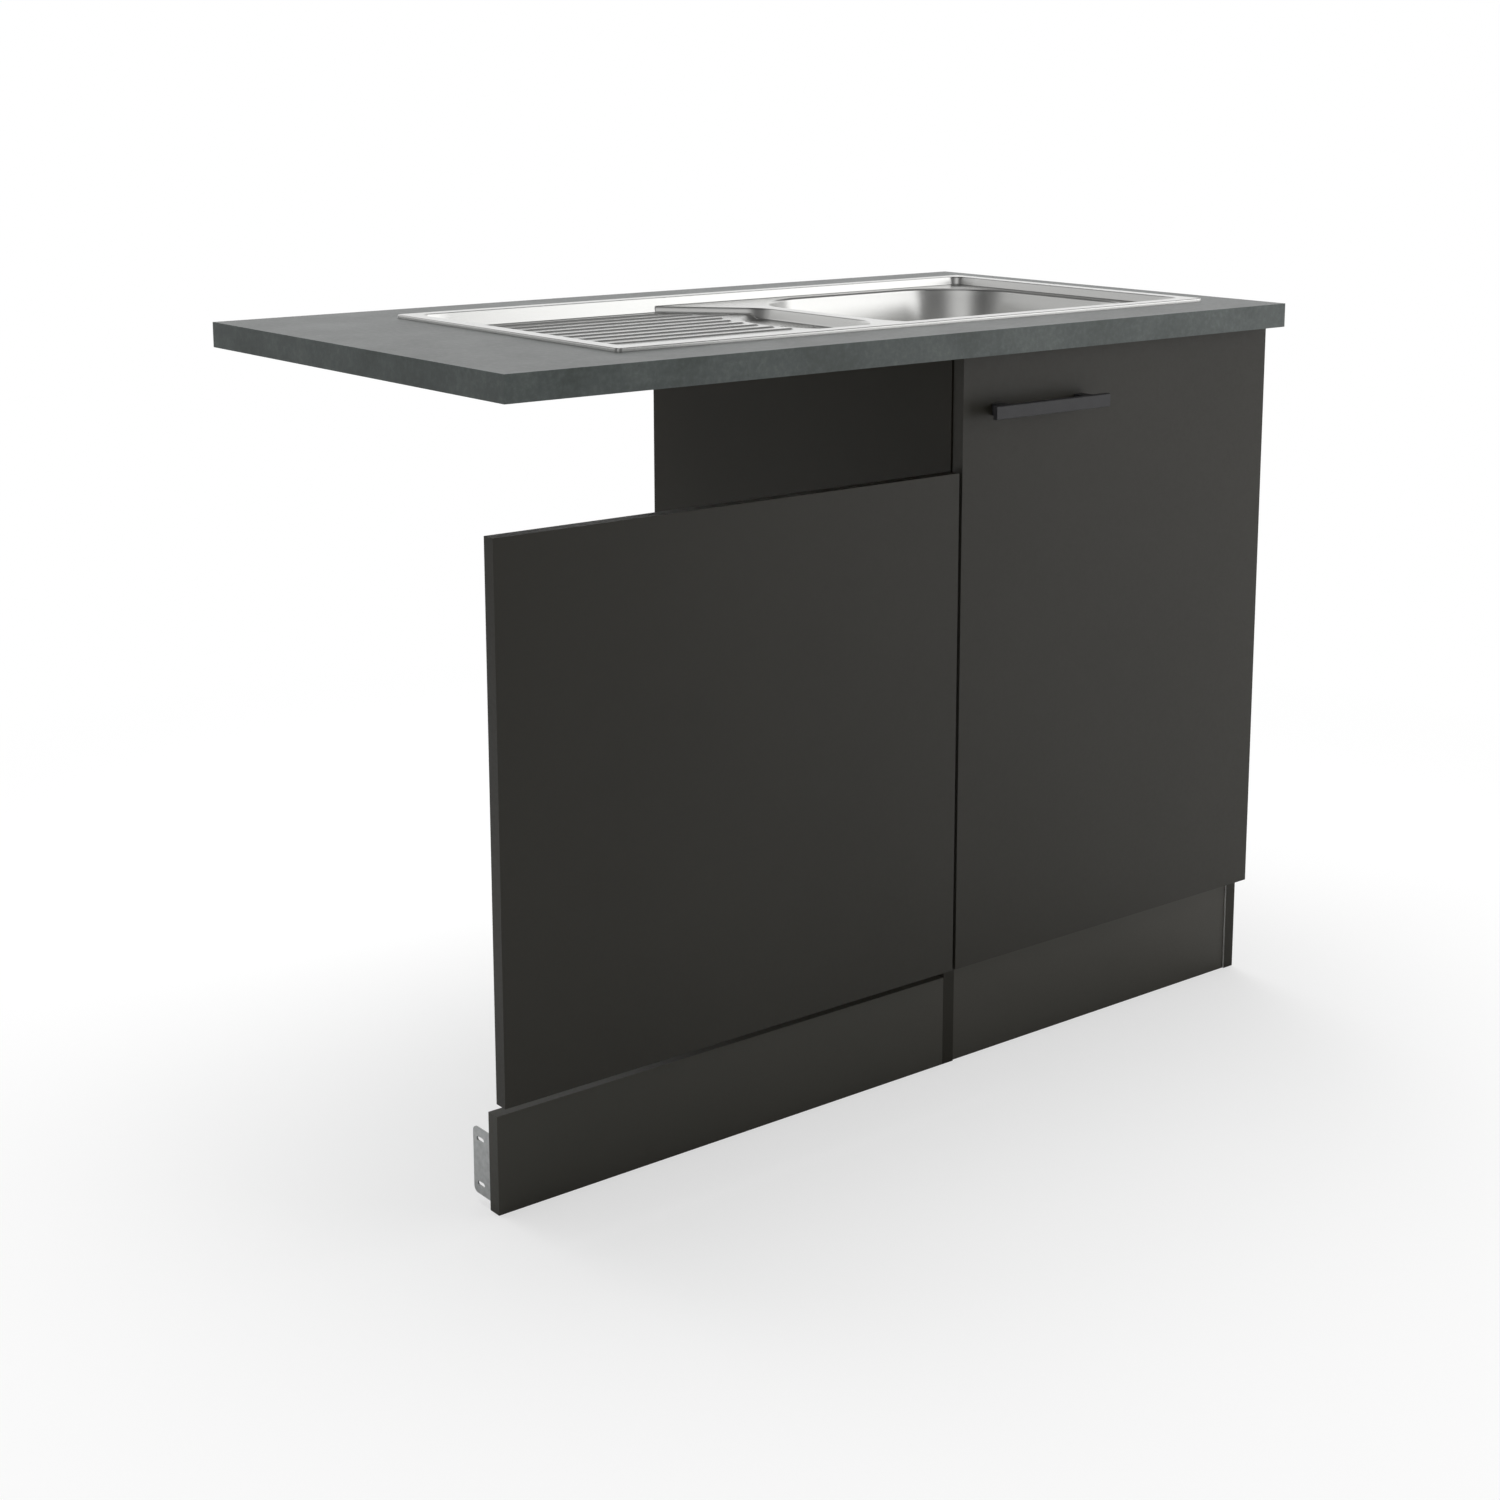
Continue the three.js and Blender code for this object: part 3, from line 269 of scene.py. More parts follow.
# Plinths get the lighter copy of the fronts' decor, painted light against the shade they stand in.
finish_nodes(["plinth_niche", "plinth_cabinet"], plinth_decor_painted_lighter, 0.5)
finish_nodes(["carcass_side_left"], two_sided_board("carcass_board_left", -1), 0.5)
finish_nodes(["carcass_side_right"], two_sided_board("carcass_board_right", 1), 0.5)
finish_nodes(["carcass_bottom", "top_rail_front", "top_rail_back", "low_rail_back"], lined_board(), 0.5)
finish_nodes(["worktop"], worktop_decor)
finish_nodes(["worktop_edging_front", "worktop_edging_left", "worktop_edging_right"], edging_decor, 0.4)
finish_nodes(["handle_bar", "handle_leg_left", "handle_leg_right"], handle_paint, 0.5)
finish_nodes(["plinth_bracket_left", "plinth_bracket_right"], zinc)
finish_nodes([n for n in nodes if "sink_clamp" in n or "angle" in n or "screw" in n], zinc)
finish_nodes([n for n in nodes if n.startswith("hinge_")], nickel)
finish_nodes(["sink_seal", "waste_gasket"], buffer_rubber)
finish_nodes(["waste_body", "overflow_housing"], waste_plastic)
finish_nodes(["door_buffer_lower", "door_buffer_upper"], buffer_plastic)
finish_nodes(["waste_flange", "strainer_basket", "overflow_plate"], turned_steel)


# ---------------------------------------------------------------- shapes in plan


def corner_arc(x, y, radius, start, sweep, steps):
    turns = [start + sweep * i / steps for i in range(steps + 1)]
    return [(x + radius * math.cos(t), y + radius * math.sin(t)) for t in turns]


def rounded_polygon(corners, grow=0.0, steps=8):
    """A convex outline, anticlockwise, from (x, y, radius) corners, moved outwards by grow."""
    points = []
    for i, (x, y, radius) in enumerate(corners):
        before, after = corners[i - 1], corners[(i + 1) % len(corners)]
        arriving = math.atan2(y - before[1], x - before[0])
        bend = (math.atan2(after[1] - y, after[0] - x) - arriving) % (2 * math.pi)
        short = radius * math.tan(bend / 2)
        centre_x = x - short * math.cos(arriving) - radius * math.sin(arriving)
        centre_y = y - short * math.sin(arriving) + radius * math.cos(arriving)
        reach = max(radius + grow, 0.05)
        points += corner_arc(centre_x, centre_y, reach, arriving - math.pi / 2, bend, steps)
    return points


def rectangle(x0, x1, y0, y1, radius):
    return [(x0, y0, radius), (x1, y0, radius), (x1, y1, radius), (x0, y1, radius)]


def circle(x, y, radius, steps):
    turns = [2 * math.pi * i / steps for i in range(steps)]
    return [(x + radius * math.cos(t), y + radius * math.sin(t)) for t in turns]


def divided(points, step, closed=True):
    """The same line with extra points, so that no stretch is longer than step."""
    out = []
    ends = list(zip(points, points[1:] + points[:1])) if closed else list(zip(points, points[1:]))
    for (x0, y0), (x1, y1) in ends:
        pieces = max(1, math.ceil(math.hypot(x1 - x0, y1 - y0) / step - 1e-6))
        out += [(x0 + (x1 - x0) * i / pieces, y0 + (y1 - y0) * i / pieces) for i in range(pieces)]
    return out if closed else out + [points[-1]]


def depth_inside(points, outline):
    """Signed distance of each point to a closed outline, positive inside."""
    p = np.asarray(points)[:, None, :]
    a = np.asarray(outline)[None, :, :]
    b = np.roll(a, -1, axis=1)
    along = b - a
    t = np.clip(((p - a) * along).sum(-1) / np.maximum((along ** 2).sum(-1), 1e-12), 0, 1)
    gap = np.sqrt(((p - a - along * t[..., None]) ** 2).sum(-1)).min(1)
    side = along[..., 0] * (p - a)[..., 1] - along[..., 1] * (p - a)[..., 0]
    rises = (a[..., 1] <= p[..., 1]) & (b[..., 1] > p[..., 1]) & (side > 0)
    falls = (a[..., 1] > p[..., 1]) & (b[..., 1] <= p[..., 1]) & (side < 0)
    inside = (rises.sum(1) - falls.sum(1)) != 0
    return np.where(inside, gap, -gap)


def eased(t):
    t = np.clip(t, 0, 1)
    return t ** 3 * (t * (6 * t - 15) + 10)


def wall_drop(depth, slope, shoulder):
    """How far a drawn wall has come down at this depth inside its outline, after a rounded shoulder."""
    depth = np.maximum(depth, 0)
    bend = np.minimum(depth, shoulder)
    return slope * (bend ** 2 / (2 * shoulder) + depth - bend)


def upper(first, second, fillet):
    """The higher of two heights, with a fillet where they meet."""
    lean = np.clip(0.5 + 0.5 * (first - second) / fillet, 0, 1)
    return second + (first - second) * lean + fillet * lean * (1 - lean)


# ---------------------------------------------------------------- solid shapes


def turned(profile, steps=72, closed=True):
    """Points and faces of a profile of (radius, height) turned about the upright line through 0, 0."""
    points, faces, rings = [], [], []
    for radius, height in profile:
        start = len(points)
        if radius == 0:
            points.append((0, 0, height))
            rings.append([start] * steps)
        else:
            points += [(x, y, height) for x, y in circle(0, 0, radius, steps)]
            rings.append(list(range(start, start + steps)))
    for low, high in zip(rings, rings[1:] + (rings[:1] if closed else [])):
        for i in range(steps):
            j = (i + 1) % steps
            face = tuple(dict.fromkeys((low[i], low[j], high[j], high[i])))
            if len(face) > 2:
                faces.append(face)
    return points, faces


def plate(outline, holes, bottom, top, edge=0.0):
    """A flat plate between two heights, with round holes (x, y, radius) through it. The edge is how
    much its top outline is drawn in."""
    loops = [outline] + [circle(x, y, radius, 14) for x, y, radius in holes]
    plan, rims = [], []
    for loop in loops:
        rims.append(range(len(plan), len(plan) + len(loop)))
        plan += loop
    edges = [(rim[i], rim[(i + 1) % len(rim)]) for rim in rims for i in range(len(rim))]
    flat, _, faces, origins, _, _ = delaunay_2d_cdt([Vector(p) for p in plan], edges, [], 0, 1e-4)
    place = {o: i for i, group in enumerate(origins) for o in group}
    flat = np.array([(v.x, v.y) for v in flat])
    middles = np.array([flat[list(f)].mean(0) for f in faces])
    keep = depth_inside(middles, outline) > 0
    for x, y, radius in holes:
        keep &= np.hypot(middles[:, 0] - x, middles[:, 1] - y) > radius
    centre = np.mean(outline, 0)
    drawn = flat.copy()
    for i in rims[0]:
        arm = flat[place[i]] - centre
        drawn[place[i]] -= edge * arm / np.linalg.norm(arm)
    points = [(x, y, top) for x, y in drawn] + [(x, y, bottom) for x, y in flat]
    count = len(flat)
    shell = [tuple(f) for f, k in zip(faces, keep) if k]
    shell += [tuple(i + count for i in reversed(f)) for f in shell]
    for rim in rims:
        for i in range(len(rim)):
            a, b = place[rim[i]], place[rim[(i + 1) % len(rim)]]
            shell.append((a, b, b + count, a + count))
    return points, shell


def hole_rings(x, y, radius, *rings):
    """Round holes in rings of (ring radius, count) about a point."""
    holes = []
    for ring, count in rings:
        start = math.pi / count
        holes += [(x + ring * math.cos(start + 2 * math.pi * i / count),
                   y + ring * math.sin(start + 2 * math.pi * i / count), radius) for i in range(count)]
    return holes


def moved(shape, x=0.0, y=0.0, z=0.0, axes=(0, 1, 2)):
    """A shape with its axes taken in another order, then moved."""
    points, faces = shape
    return [(p[axes[0]] + x, p[axes[1]] + y, p[axes[2]] + z) for p in points], faces


def show_piece(mesh, material, body, stands_for):
    """Puts a finished mesh on its body, in place of the model's plainer node."""
    piece = bpy.data.objects.new(mesh.name, mesh)
    scene.collection.objects.link(piece)
    mesh.materials.append(material)
    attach(piece, body)
    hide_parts(stands_for)


def made_piece(name, shapes, material, body, stands_for):
    """One piece from closed shapes in millimetres, shown in place of the model's plainer node."""
    points, faces = [], []
    for some, sides in shapes:
        faces += [tuple(i + len(points) for i in side) for side in sides]
        points += some
    mesh = bpy.data.meshes.new(name)
    mesh.from_pydata([tuple(float(c) * MM for c in p) for p in points], [], faces)
    bm = bmesh.new()
    bm.from_mesh(mesh)
    bmesh.ops.recalc_face_normals(bm, faces=bm.faces)
    for face in bm.faces:
        face.smooth = True
    for edge in bm.edges:
        edge.smooth = edge.calc_face_angle(math.pi) < math.radians(32)
    bm.to_mesh(mesh)
    bm.free()
    show_piece(mesh, material, body, stands_for)


# ---------------------------------------------------------------- sink

# Rim: it stands on the worktop, with its edge rolled over and turned down.
DECK = 848.0
RIM_TOP = 852.0
RIM_ROLL = 1.3
RIM_CORNER = 6.0
LIP_GAP = 0.15  # turned-down edge to the worktop
SHEET = 1.0

# Plans as (left, right, front, back); every drop is measured downwards, to the next level.
MIDDLE_Y = -4.5
SINK = (-368.5, 491.5, -222.0, 213.0)
RECESS = (-350.5, 473.5, -204.0, 195.0)
RECESS_CORNER = 16.0
RECESS_DROP = 10.0

# The drainer pan, whose end towards the bowl narrows between round shoulders.
PAN_DROP = 7.2
PAN_SHOULDER_X = -25.0
PAN_SHOULDER = 12.0
PAN_END_X = 65.0
PAN_END_HALF = 99.0
PAN_END_CORNER = 55.0

# Drawn walls: height lost per millimetre, the radius at the top and the fillet at the foot.
WALL_SLOPE = 5.0
RIM_SHOULDER = 1.0
WALL_FOOT_FILLET = 1.6
END_SLOPE = 5.0
END_SHOULDER = 1.3
PAN_FOOT_FILLET = 1.8

# The sump is the part of a disc that lies in the pan; its edge slopes down over its run.
SUMP_CENTRE_X = 110.0
SUMP_RADIUS = 125.0
SUMP_DROP = 5.5
SUMP_RUN = 15.0

# Ribs: one on the middle line and six to each side, with their right-hand ends from the middle out.
RIB_START = -336.5
RIB_ENDS = (-19.0, -18.0, -14.0, -4.5, 25.0, -6.5, -36.0)
RIB_PITCH = 28.3
RIB_HALF_WIDTH = 5.0
RIB_HEIGHT = 1.65

BOWL = (87.0, 454.5, -181.0, 172.0)
BOWL_CORNER = 95.0
BOWL_FOOT_CORNER = 40.0
BOWL_LIP = 3.6
BOWL_DEPTH = 150.0
BOWL_DRAFT = 11.0
BOWL_BOTTOM_RADIUS = 42.0
BOWL_FALL = 3.0

WASTE_CENTRE = (270.75, -4.5)
WASTE_SEAT_RADIUS = 56.4
WASTE_APRON = 5.0  # level ring round the seat
WASTE_DISH = 3.5
HOLE_RADIUS = 45.0
OVERFLOW_CENTRE = (38.0, -4.5)
OVERFLOW_HOLE_RADIUS = 20.0

# Where the mesh has lines, close together over shoulders, fillets and ribs: inside the outlines of
# recess and pan, along the long walls by the pan's shoulder, inside the sump and off a rib's line.
WALL_LINES = (-0.3, 0, 0.25, 0.5, 0.75, 1.0, 1.3, 2.0, 2.2, 2.4, 2.6, 2.9, 3.5, 3.8, 4.0, 4.2, 4.5)
END_LINES = (-0.4, 0, 0.3, 0.6, 0.9, 1.3, 1.7, 2.0, 2.3, 2.6, 3.0, 3.3, 3.7, 4.1)
SHOULDER_LINES = [PAN_SHOULDER_X - 6 + 1.5 * i for i in range(18)]
SUMP_LINES = (0, 2.5, 5, 7.5, 10, 12.5, SUMP_RUN)
RIB_LINES = (RIB_HALF_WIDTH, 4.3, 3.5, 2.5, 1.5, 0.7)

recess_corners = rectangle(*RECESS, RECESS_CORNER)
pan_corners = [
    (RECESS[0], RECESS[2], RECESS_CORNER),
    (PAN_SHOULDER_X, RECESS[2], PAN_SHOULDER),
    (PAN_END_X, MIDDLE_Y - PAN_END_HALF, PAN_END_CORNER),
    (PAN_END_X, MIDDLE_Y + PAN_END_HALF, PAN_END_CORNER),
    (PAN_SHOULDER_X, RECESS[3], PAN_SHOULDER),
    (RECESS[0], RECESS[3], RECESS_CORNER),
]
# The middle line of each rib, between the centres of its round ends.
rib_lines = [(RIB_START + RIB_HALF_WIDTH, RIB_ENDS[abs(k)] - RIB_HALF_WIDTH, MIDDLE_Y + k * RIB_PITCH)
             for k in range(-6, 7)]


def sink_height(points):
    """Height of the pressed sheet at each plan point, from the rim down to the drainer's sump."""
    points = np.asarray(points, float)
    in_recess = depth_inside(points, rounded_polygon(recess_corners))
    in_pan = depth_inside(points, rounded_polygon(pan_corners, steps=12))
    rim_wall = RIM_TOP - wall_drop(in_recess, WALL_SLOPE, RIM_SHOULDER)
    end_wall = RIM_TOP - RECESS_DROP - wall_drop(in_pan, END_SLOPE, END_SHOULDER)
    out = np.hypot(points[:, 0] - SUMP_CENTRE_X, points[:, 1] - MIDDLE_Y)
    floor = RIM_TOP - RECESS_DROP - PAN_DROP - SUMP_DROP * eased((SUMP_RADIUS - out) / SUMP_RUN)
    height = upper(rim_wall, upper(end_wall, floor, PAN_FOOT_FILLET), WALL_FOOT_FILLET)
    for x0, x1, y in rib_lines:
        beyond = np.maximum(np.maximum(x0 - points[:, 0], points[:, 0] - x1), 0)
        away = np.hypot(beyond, points[:, 1] - y)
        height += RIB_HEIGHT * np.cos(np.clip(away / RIB_HALF_WIDTH, 0, 1) * math.pi / 2) ** 2
    return height


def sink_normals(points):
    step = 0.05
    points = np.asarray(points, float)
    slope_x = (sink_height(points + (step, 0)) - sink_height(points - (step, 0))) / (2 * step)
    slope_y = (sink_height(points + (0, step)) - sink_height(points - (0, step))) / (2 * step)
    normals = np.stack([-slope_x, -slope_y, np.ones(len(points))], 1)
    return normals / np.linalg.norm(normals, axis=1)[:, None]


def drawn_in(plan, inset, radius):
    """A plan's rectangle made smaller all round, with corners of a radius."""
    x0, x1, y0, y1 = plan
    return rectangle(x0 + inset, x1 - inset, y0 + inset, y1 - inset, radius)


def bowl_ring(inset, radius, steps=16, pieces=7):
    """The bowl's outline in plan, with the same number of points whatever its size: steps round each
    corner, and each straight side in pieces."""
    outline = rounded_polygon(drawn_in(BOWL, inset, radius), 0, steps)
    ring = []
    for i, (x, y) in enumerate(outline):
        ring.append((x, y))
        if i % (steps + 1) == steps:
            xn, yn = outline[(i + 1) % len(outline)]
            ring += [(x + (xn - x) * k / pieces, y + (yn - y) * k / pieces) for k in range(1, pieces)]
    return ring


def bowl_rings():
    """The bowl's rings of plan points with their heights, from the mouth down to the waste hole."""
    ledge = RIM_TOP - RECESS_DROP
    floor = ledge - BOWL_DEPTH
    lip_foot = ledge - BOWL_LIP
    wall_foot = floor + BOWL_BOTTOM_RADIUS
    lip_steps, wall_steps, foot_steps, floor_steps = 7, 12, 14, 10
    rings = []
    for i in range(1, lip_steps + 1):
        turn = i / lip_steps * math.pi / 2
        grow = BOWL_LIP * (1 - math.sin(turn))
        rings.append((bowl_ring(-grow, BOWL_CORNER + grow), ledge - BOWL_LIP * (1 - math.cos(turn))))
    for i in range(1, wall_steps):
        share = i / wall_steps
        inset = BOWL_DRAFT * (1 - (1 - share) ** 2)
        rings.append((bowl_ring(inset, BOWL_CORNER - inset), lip_foot + (wall_foot - lip_foot) * share))
    for i in range(foot_steps + 1):
        turn = i / foot_steps * math.pi / 2
        inset = BOWL_DRAFT + BOWL_BOTTOM_RADIUS * (1 - math.cos(turn))
        rings.append((bowl_ring(inset, max(BOWL_CORNER - inset, BOWL_FOOT_CORNER)),
                      floor + BOWL_BOTTOM_RADIUS * (1 - math.sin(turn))))

    # The floor falls to the waste while its rings turn from the bowl's shape into a circle.
    edge = rings[-1][0]
    x, y = WASTE_CENTRE
    round_to = [math.atan2(q - y, p - x) for p, q in edge]
    goal_radius = WASTE_SEAT_RADIUS + WASTE_APRON
    for i in range(1, floor_steps + 1):
        share = i / floor_steps
        ring = []
        for (p, q), turn in zip(edge, round_to):
            goal = (x + goal_radius * math.cos(turn), y + goal_radius * math.sin(turn))
            ring.append((p + (goal[0] - p) * share, q + (goal[1] - q) * share))
        rings.append((ring, floor - BOWL_FALL * share ** 2 * (3 - 2 * share)))

    # The dish that the waste's flange lies in, then the hole.
    seat = floor - BOWL_FALL
    for radius, drop in ((WASTE_SEAT_RADIUS + 2.5, 0.25), (WASTE_SEAT_RADIUS + 0.8, 1.2),
                         (WASTE_SEAT_RADIUS - 0.2, 2.8), (WASTE_SEAT_RADIUS - 1.4, WASTE_DISH),
                         (HOLE_RADIUS, WASTE_DISH)):
        ring = [(x + radius * math.cos(t), y + radius * math.sin(t)) for t in round_to]
        rings.append((ring, seat - drop))
    return rings


def rim_rings():
    """The rim's outer edge, rolled over and turned down onto the worktop."""
    steps = 6
    rings = []
    for i in range(1, steps + 1):
        turn = i / steps * math.pi / 2
        inset = RIM_ROLL * (1 - math.sin(turn))
        outline = rounded_polygon(drawn_in(SINK, inset, RIM_CORNER - inset))
        rings.append((outline, RIM_TOP - RIM_ROLL * (1 - math.cos(turn))))
    rings.append((rounded_polygon(drawn_in(SINK, 0, RIM_CORNER)), DECK + LIP_GAP))
    return rings


def sheet_lines():
    """Every line in plan that the sheet's mesh has to follow, each with whether it is closed."""
    lines = []
    for depth in WALL_LINES:
        loop = divided(rounded_polygon(recess_corners, -depth), 24)
        fine = []
        for (xa, ya), (xb, yb) in zip(loop, loop[1:] + loop[:1]):
            fine.append((xa, ya))
            low, high = sorted((xa, xb))
            along = SHOULDER_LINES if abs(ya - yb) < 1e-6 else []
            near = [x for x in along if low + 0.2 < x < high - 0.2]
            fine += [(x, ya) for x in (near if xb > xa else near[::-1])]
        lines.append((fine, True))
    for depth in END_LINES:
        pan = rounded_polygon(pan_corners, -depth)
        four_corners = pan[9:45]  # of the six, those not shared with the recess; nine points each
        lines.append((divided(four_corners, 4, closed=False), False))
    for run in SUMP_LINES:
        start, sweep = math.radians(112), math.radians(136)
        arc = corner_arc(SUMP_CENTRE_X, MIDDLE_Y, SUMP_RADIUS - run, start, sweep, 40)
        lines.append((arc, False))
    for x0, x1, y in rib_lines:
        for width in RIB_LINES:
            bead = corner_arc(x1, y, width, -math.pi / 2, math.pi, 8)
            bead += corner_arc(x0, y, width, math.pi / 2, math.pi, 8)
            lines.append((bead, True))
    return lines


def pressed_sink():
    """One sheet: rim, recess, ledge, ribbed drainer, sump and bowl, with its underside below."""
    outer = rounded_polygon(drawn_in(SINK, RIM_ROLL, RIM_CORNER - RIM_ROLL))
    mouth = bowl_ring(-BOWL_LIP, BOWL_CORNER + BOWL_LIP)
    drain = circle(*OVERFLOW_CENTRE, OVERFLOW_HOLE_RADIUS, 40)

    # The flat plan, cut along all its lines, keeps what lies within the rim and off the holes.
    plan, edges = [], []
    for line, closed in [(outer, True), (mouth, True), (drain, True)] + sheet_lines():
        start = len(plan)
        plan += line
        count = len(line)
        edges += [(start + i, start + (i + 1) % count) for i in range(count if closed else count - 1)]
    flat, _, faces, origins, _, _ = delaunay_2d_cdt([Vector(p) for p in plan], edges, [], 0, 1e-3)
    flat = np.array([(v.x, v.y) for v in flat])
    middles = np.array([flat[list(f)].mean(0) for f in faces])
    keep = (depth_inside(middles, outer) > 0) & (depth_inside(middles, mouth) < 0)
    keep &= np.hypot(*(middles - OVERFLOW_CENTRE).T) > OVERFLOW_HOLE_RADIUS
    faces = [tuple(f) for f, k in zip(faces, keep) if k]
    points = np.column_stack([flat, sink_height(flat)])
    normals = sink_normals(flat)
    place = {o: i for i, group in enumerate(origins) for o in group}
    rim_loop = [place[i] for i in range(len(outer))]
    mouth_loop = [place[len(outer) + i] for i in range(len(mouth))]
    drain_start = len(outer) + len(mouth)
    drain_loop = [place[drain_start + i] for i in range(len(drain))]
    points[rim_loop, 2] = RIM_TOP
    points[mouth_loop, 2] = RIM_TOP - RECESS_DROP
    points = [tuple(p) for p in points]
    known = dict(enumerate(map(tuple, normals)))

    def grow_strip(loop, rings, inward):
        """Adds faces from a loop of points to each ring in turn, and hands back the last ring."""
        for ring, height in rings:
            start = len(points)
            points.extend((x, y, height) for x, y in ring)
            new = list(range(start, start + len(ring)))
            for i in range(len(ring)):
                j = (i + 1) % len(ring)
                quad = (loop[i], loop[j], new[j], new[i])
                faces.append(quad if inward else quad[::-1])
            loop = new
        return loop

    lip_foot = grow_strip(rim_loop, rim_rings(), False)
    hole_edge = grow_strip(mouth_loop, bowl_rings(), True)

    # The underside lies a sheet's thickness below along the normals, joined at the three edges.
    mesh = bpy.data.meshes.new("sink_pressing")
    mesh.from_pydata([tuple(c * MM for c in p) for p in points], [], faces)
    bm = bmesh.new()
    bm.from_mesh(mesh)
    bm.verts.ensure_lookup_table()
    bm.normal_update()
    upward = sum(f.normal.z * f.calc_area() for f in bm.faces)
    if upward < 0:
        bmesh.ops.reverse_faces(bm, faces=bm.faces)
        bm.normal_update()
    top_normals = [Vector(known[i]) if i in known else v.normal.copy() for i, v in enumerate(bm.verts)]
    below = [bm.verts.new(v.co - n * SHEET * MM) for v, n in zip(list(bm.verts), top_normals)]
    for face in list(bm.faces):
        bm.faces.new([below[v.index] for v in reversed(face.verts)])
    bm.verts.ensure_lookup_table()
    for loop, flip in ((lip_foot, False), (hole_edge, True), (drain_loop, True)):
        for i in range(len(loop)):
            j = (i + 1) % len(loop)
            ring = [bm.verts[loop[i]], bm.verts[loop[j]], below[loop[j]], below[loop[i]]]
            bm.faces.new(ring[::-1] if flip else ring)
    bmesh.ops.recalc_face_normals(bm, faces=bm.faces)
    bm.to_mesh(mesh)
    bm.free()
    mesh.shade_smooth()
    shading = [tuple(n) for n in top_normals] + [tuple(-n) for n in top_normals]
    mesh.normals_split_custom_set_from_vertices(shading)
    show_piece(mesh, sink_steel, "unit", "sink")


pressed_sink()


# ---------------------------------------------------------------- waste, strainer and overflow

WASTE_SEAT = RIM_TOP - RECESS_DROP - BOWL_DEPTH - BOWL_FALL - WASTE_DISH
FLANGE_SHEET = 1.2
BASKET_SEAT = WASTE_SEAT + FLANGE_SHEET
THROAT_DEPTH = 20.0
BASKET_DEPTH = 30.0
GASKET = 2.0
CUP_DEPTH = 58.0
SPIGOT_LENGTH = 26.0


def waste_flange():
    """The pressed ring that lines the waste hole, with a rolled throat."""
    top = BASKET_SEAT
    end = top - THROAT_DEPTH
    profile = [(56, WASTE_SEAT), (56, top - 0.7), (55.4, top - 0.2), (54.4, top), (47.2, top),
               (46, top - 0.3), (45, top - 1.1), (44.6, top - 2.4), (44.6, end), (43.4, end),
               (43.4, top - 2.6), (43.8, top - 3.4), (44.2, WASTE_SEAT - 0.6), (46, WASTE_SEAT)]
    made_piece("waste_throat", [moved(turned(profile, 96), *WASTE_CENTRE)], turned_steel, "unit",
               "waste_flange")


def strainer_basket():
    """A drawn cup with a perforated floor, a flat rim that rests on the flange, and a turned knob."""
    seat, floor, sheet = BASKET_SEAT, BASKET_SEAT - BASKET_DEPTH, 0.9
    outside = [(47.4, seat), (48, seat + 0.5), (47.6, seat + 1.1), (46.6, seat + 1.3)]
    inside = [(41, seat + 1.3), (39, seat + 0.8), (37.6, seat - 0.8), (37.1, seat - 3)]
    bend = [(26.1 + 11 * math.cos(t), floor + sheet + 11 - 11 * math.sin(t))
            for t in (0.1, 0.3, 0.52, 0.8, 1.1, 1.35, math.pi / 2)]
    under = [(26.1 + 12 * math.cos(t), floor + 12 - 12 * math.sin(t))
             for t in (math.pi / 2, 1.35, 1.1, 0.8, 0.52, 0.3, 0.1)]
    back = [(38.1, seat - 3), (38.6, seat - 1), (39.8, seat)]
    cup = turned(outside + inside + bend + under + back, 96)
    holes = hole_rings(0, 0, 1.6, (9, 8), (14.5, 14), (20, 20), (24.6, 26))
    grid = plate(circle(0, 0, 26.6, 96), holes, floor, floor + sheet)
    foot = floor + sheet
    knob = turned([(0, foot), (4.6, foot), (4.2, foot + 0.8), (2.6, foot + 1.6), (2.4, foot + 9),
                   (3.2, foot + 11), (6.4, foot + 13.2), (7.8, foot + 15.2), (8, foot + 16.8),
                   (7.3, foot + 18.2), (5.6, foot + 19.1), (3, foot + 18.6), (0, foot + 18.3)],
                  48, closed=False)
    made_piece("strainer_cup", [moved(part, *WASTE_CENTRE) for part in (cup, grid, knob)], turned_steel,
               "strainer_basket", "strainer_basket")


def overflow_rosette():
    """A thin perforated disc let in flush over the overflow."""
    x, y = OVERFLOW_CENTRE
    floor = RIM_TOP - RECESS_DROP - PAN_DROP - SUMP_DROP
    holes = [(x, y, 1.4)] + hole_rings(x, y, 1.3, (5, 6), (9.6, 12), (14.2, 18), (18.8, 24))
    disc = plate(circle(x, y, 22.5, 72), holes, floor - 0.8, floor + 0.35, edge=0.8)
    made_piece("overflow_rosette", [disc], turned_steel, "unit", "overflow_plate")


def fluted(profile, flutes, depth, steps):
    """A turned shape with grip flutes round it where the profile's third value is 1."""
    points, faces = turned([p[:2] for p in profile], steps)
    for ring, (radius, _, grip) in enumerate(profile):
        for i in range(steps):
            x, y, z = points[ring * steps + i]
            wave = 0.5 - 0.5 * math.cos(2 * math.pi * i * flutes / steps)
            shrink = 1 - grip * depth / radius * wave
            points[ring * steps + i] = (x * shrink, y * shrink, z)
    return points, faces


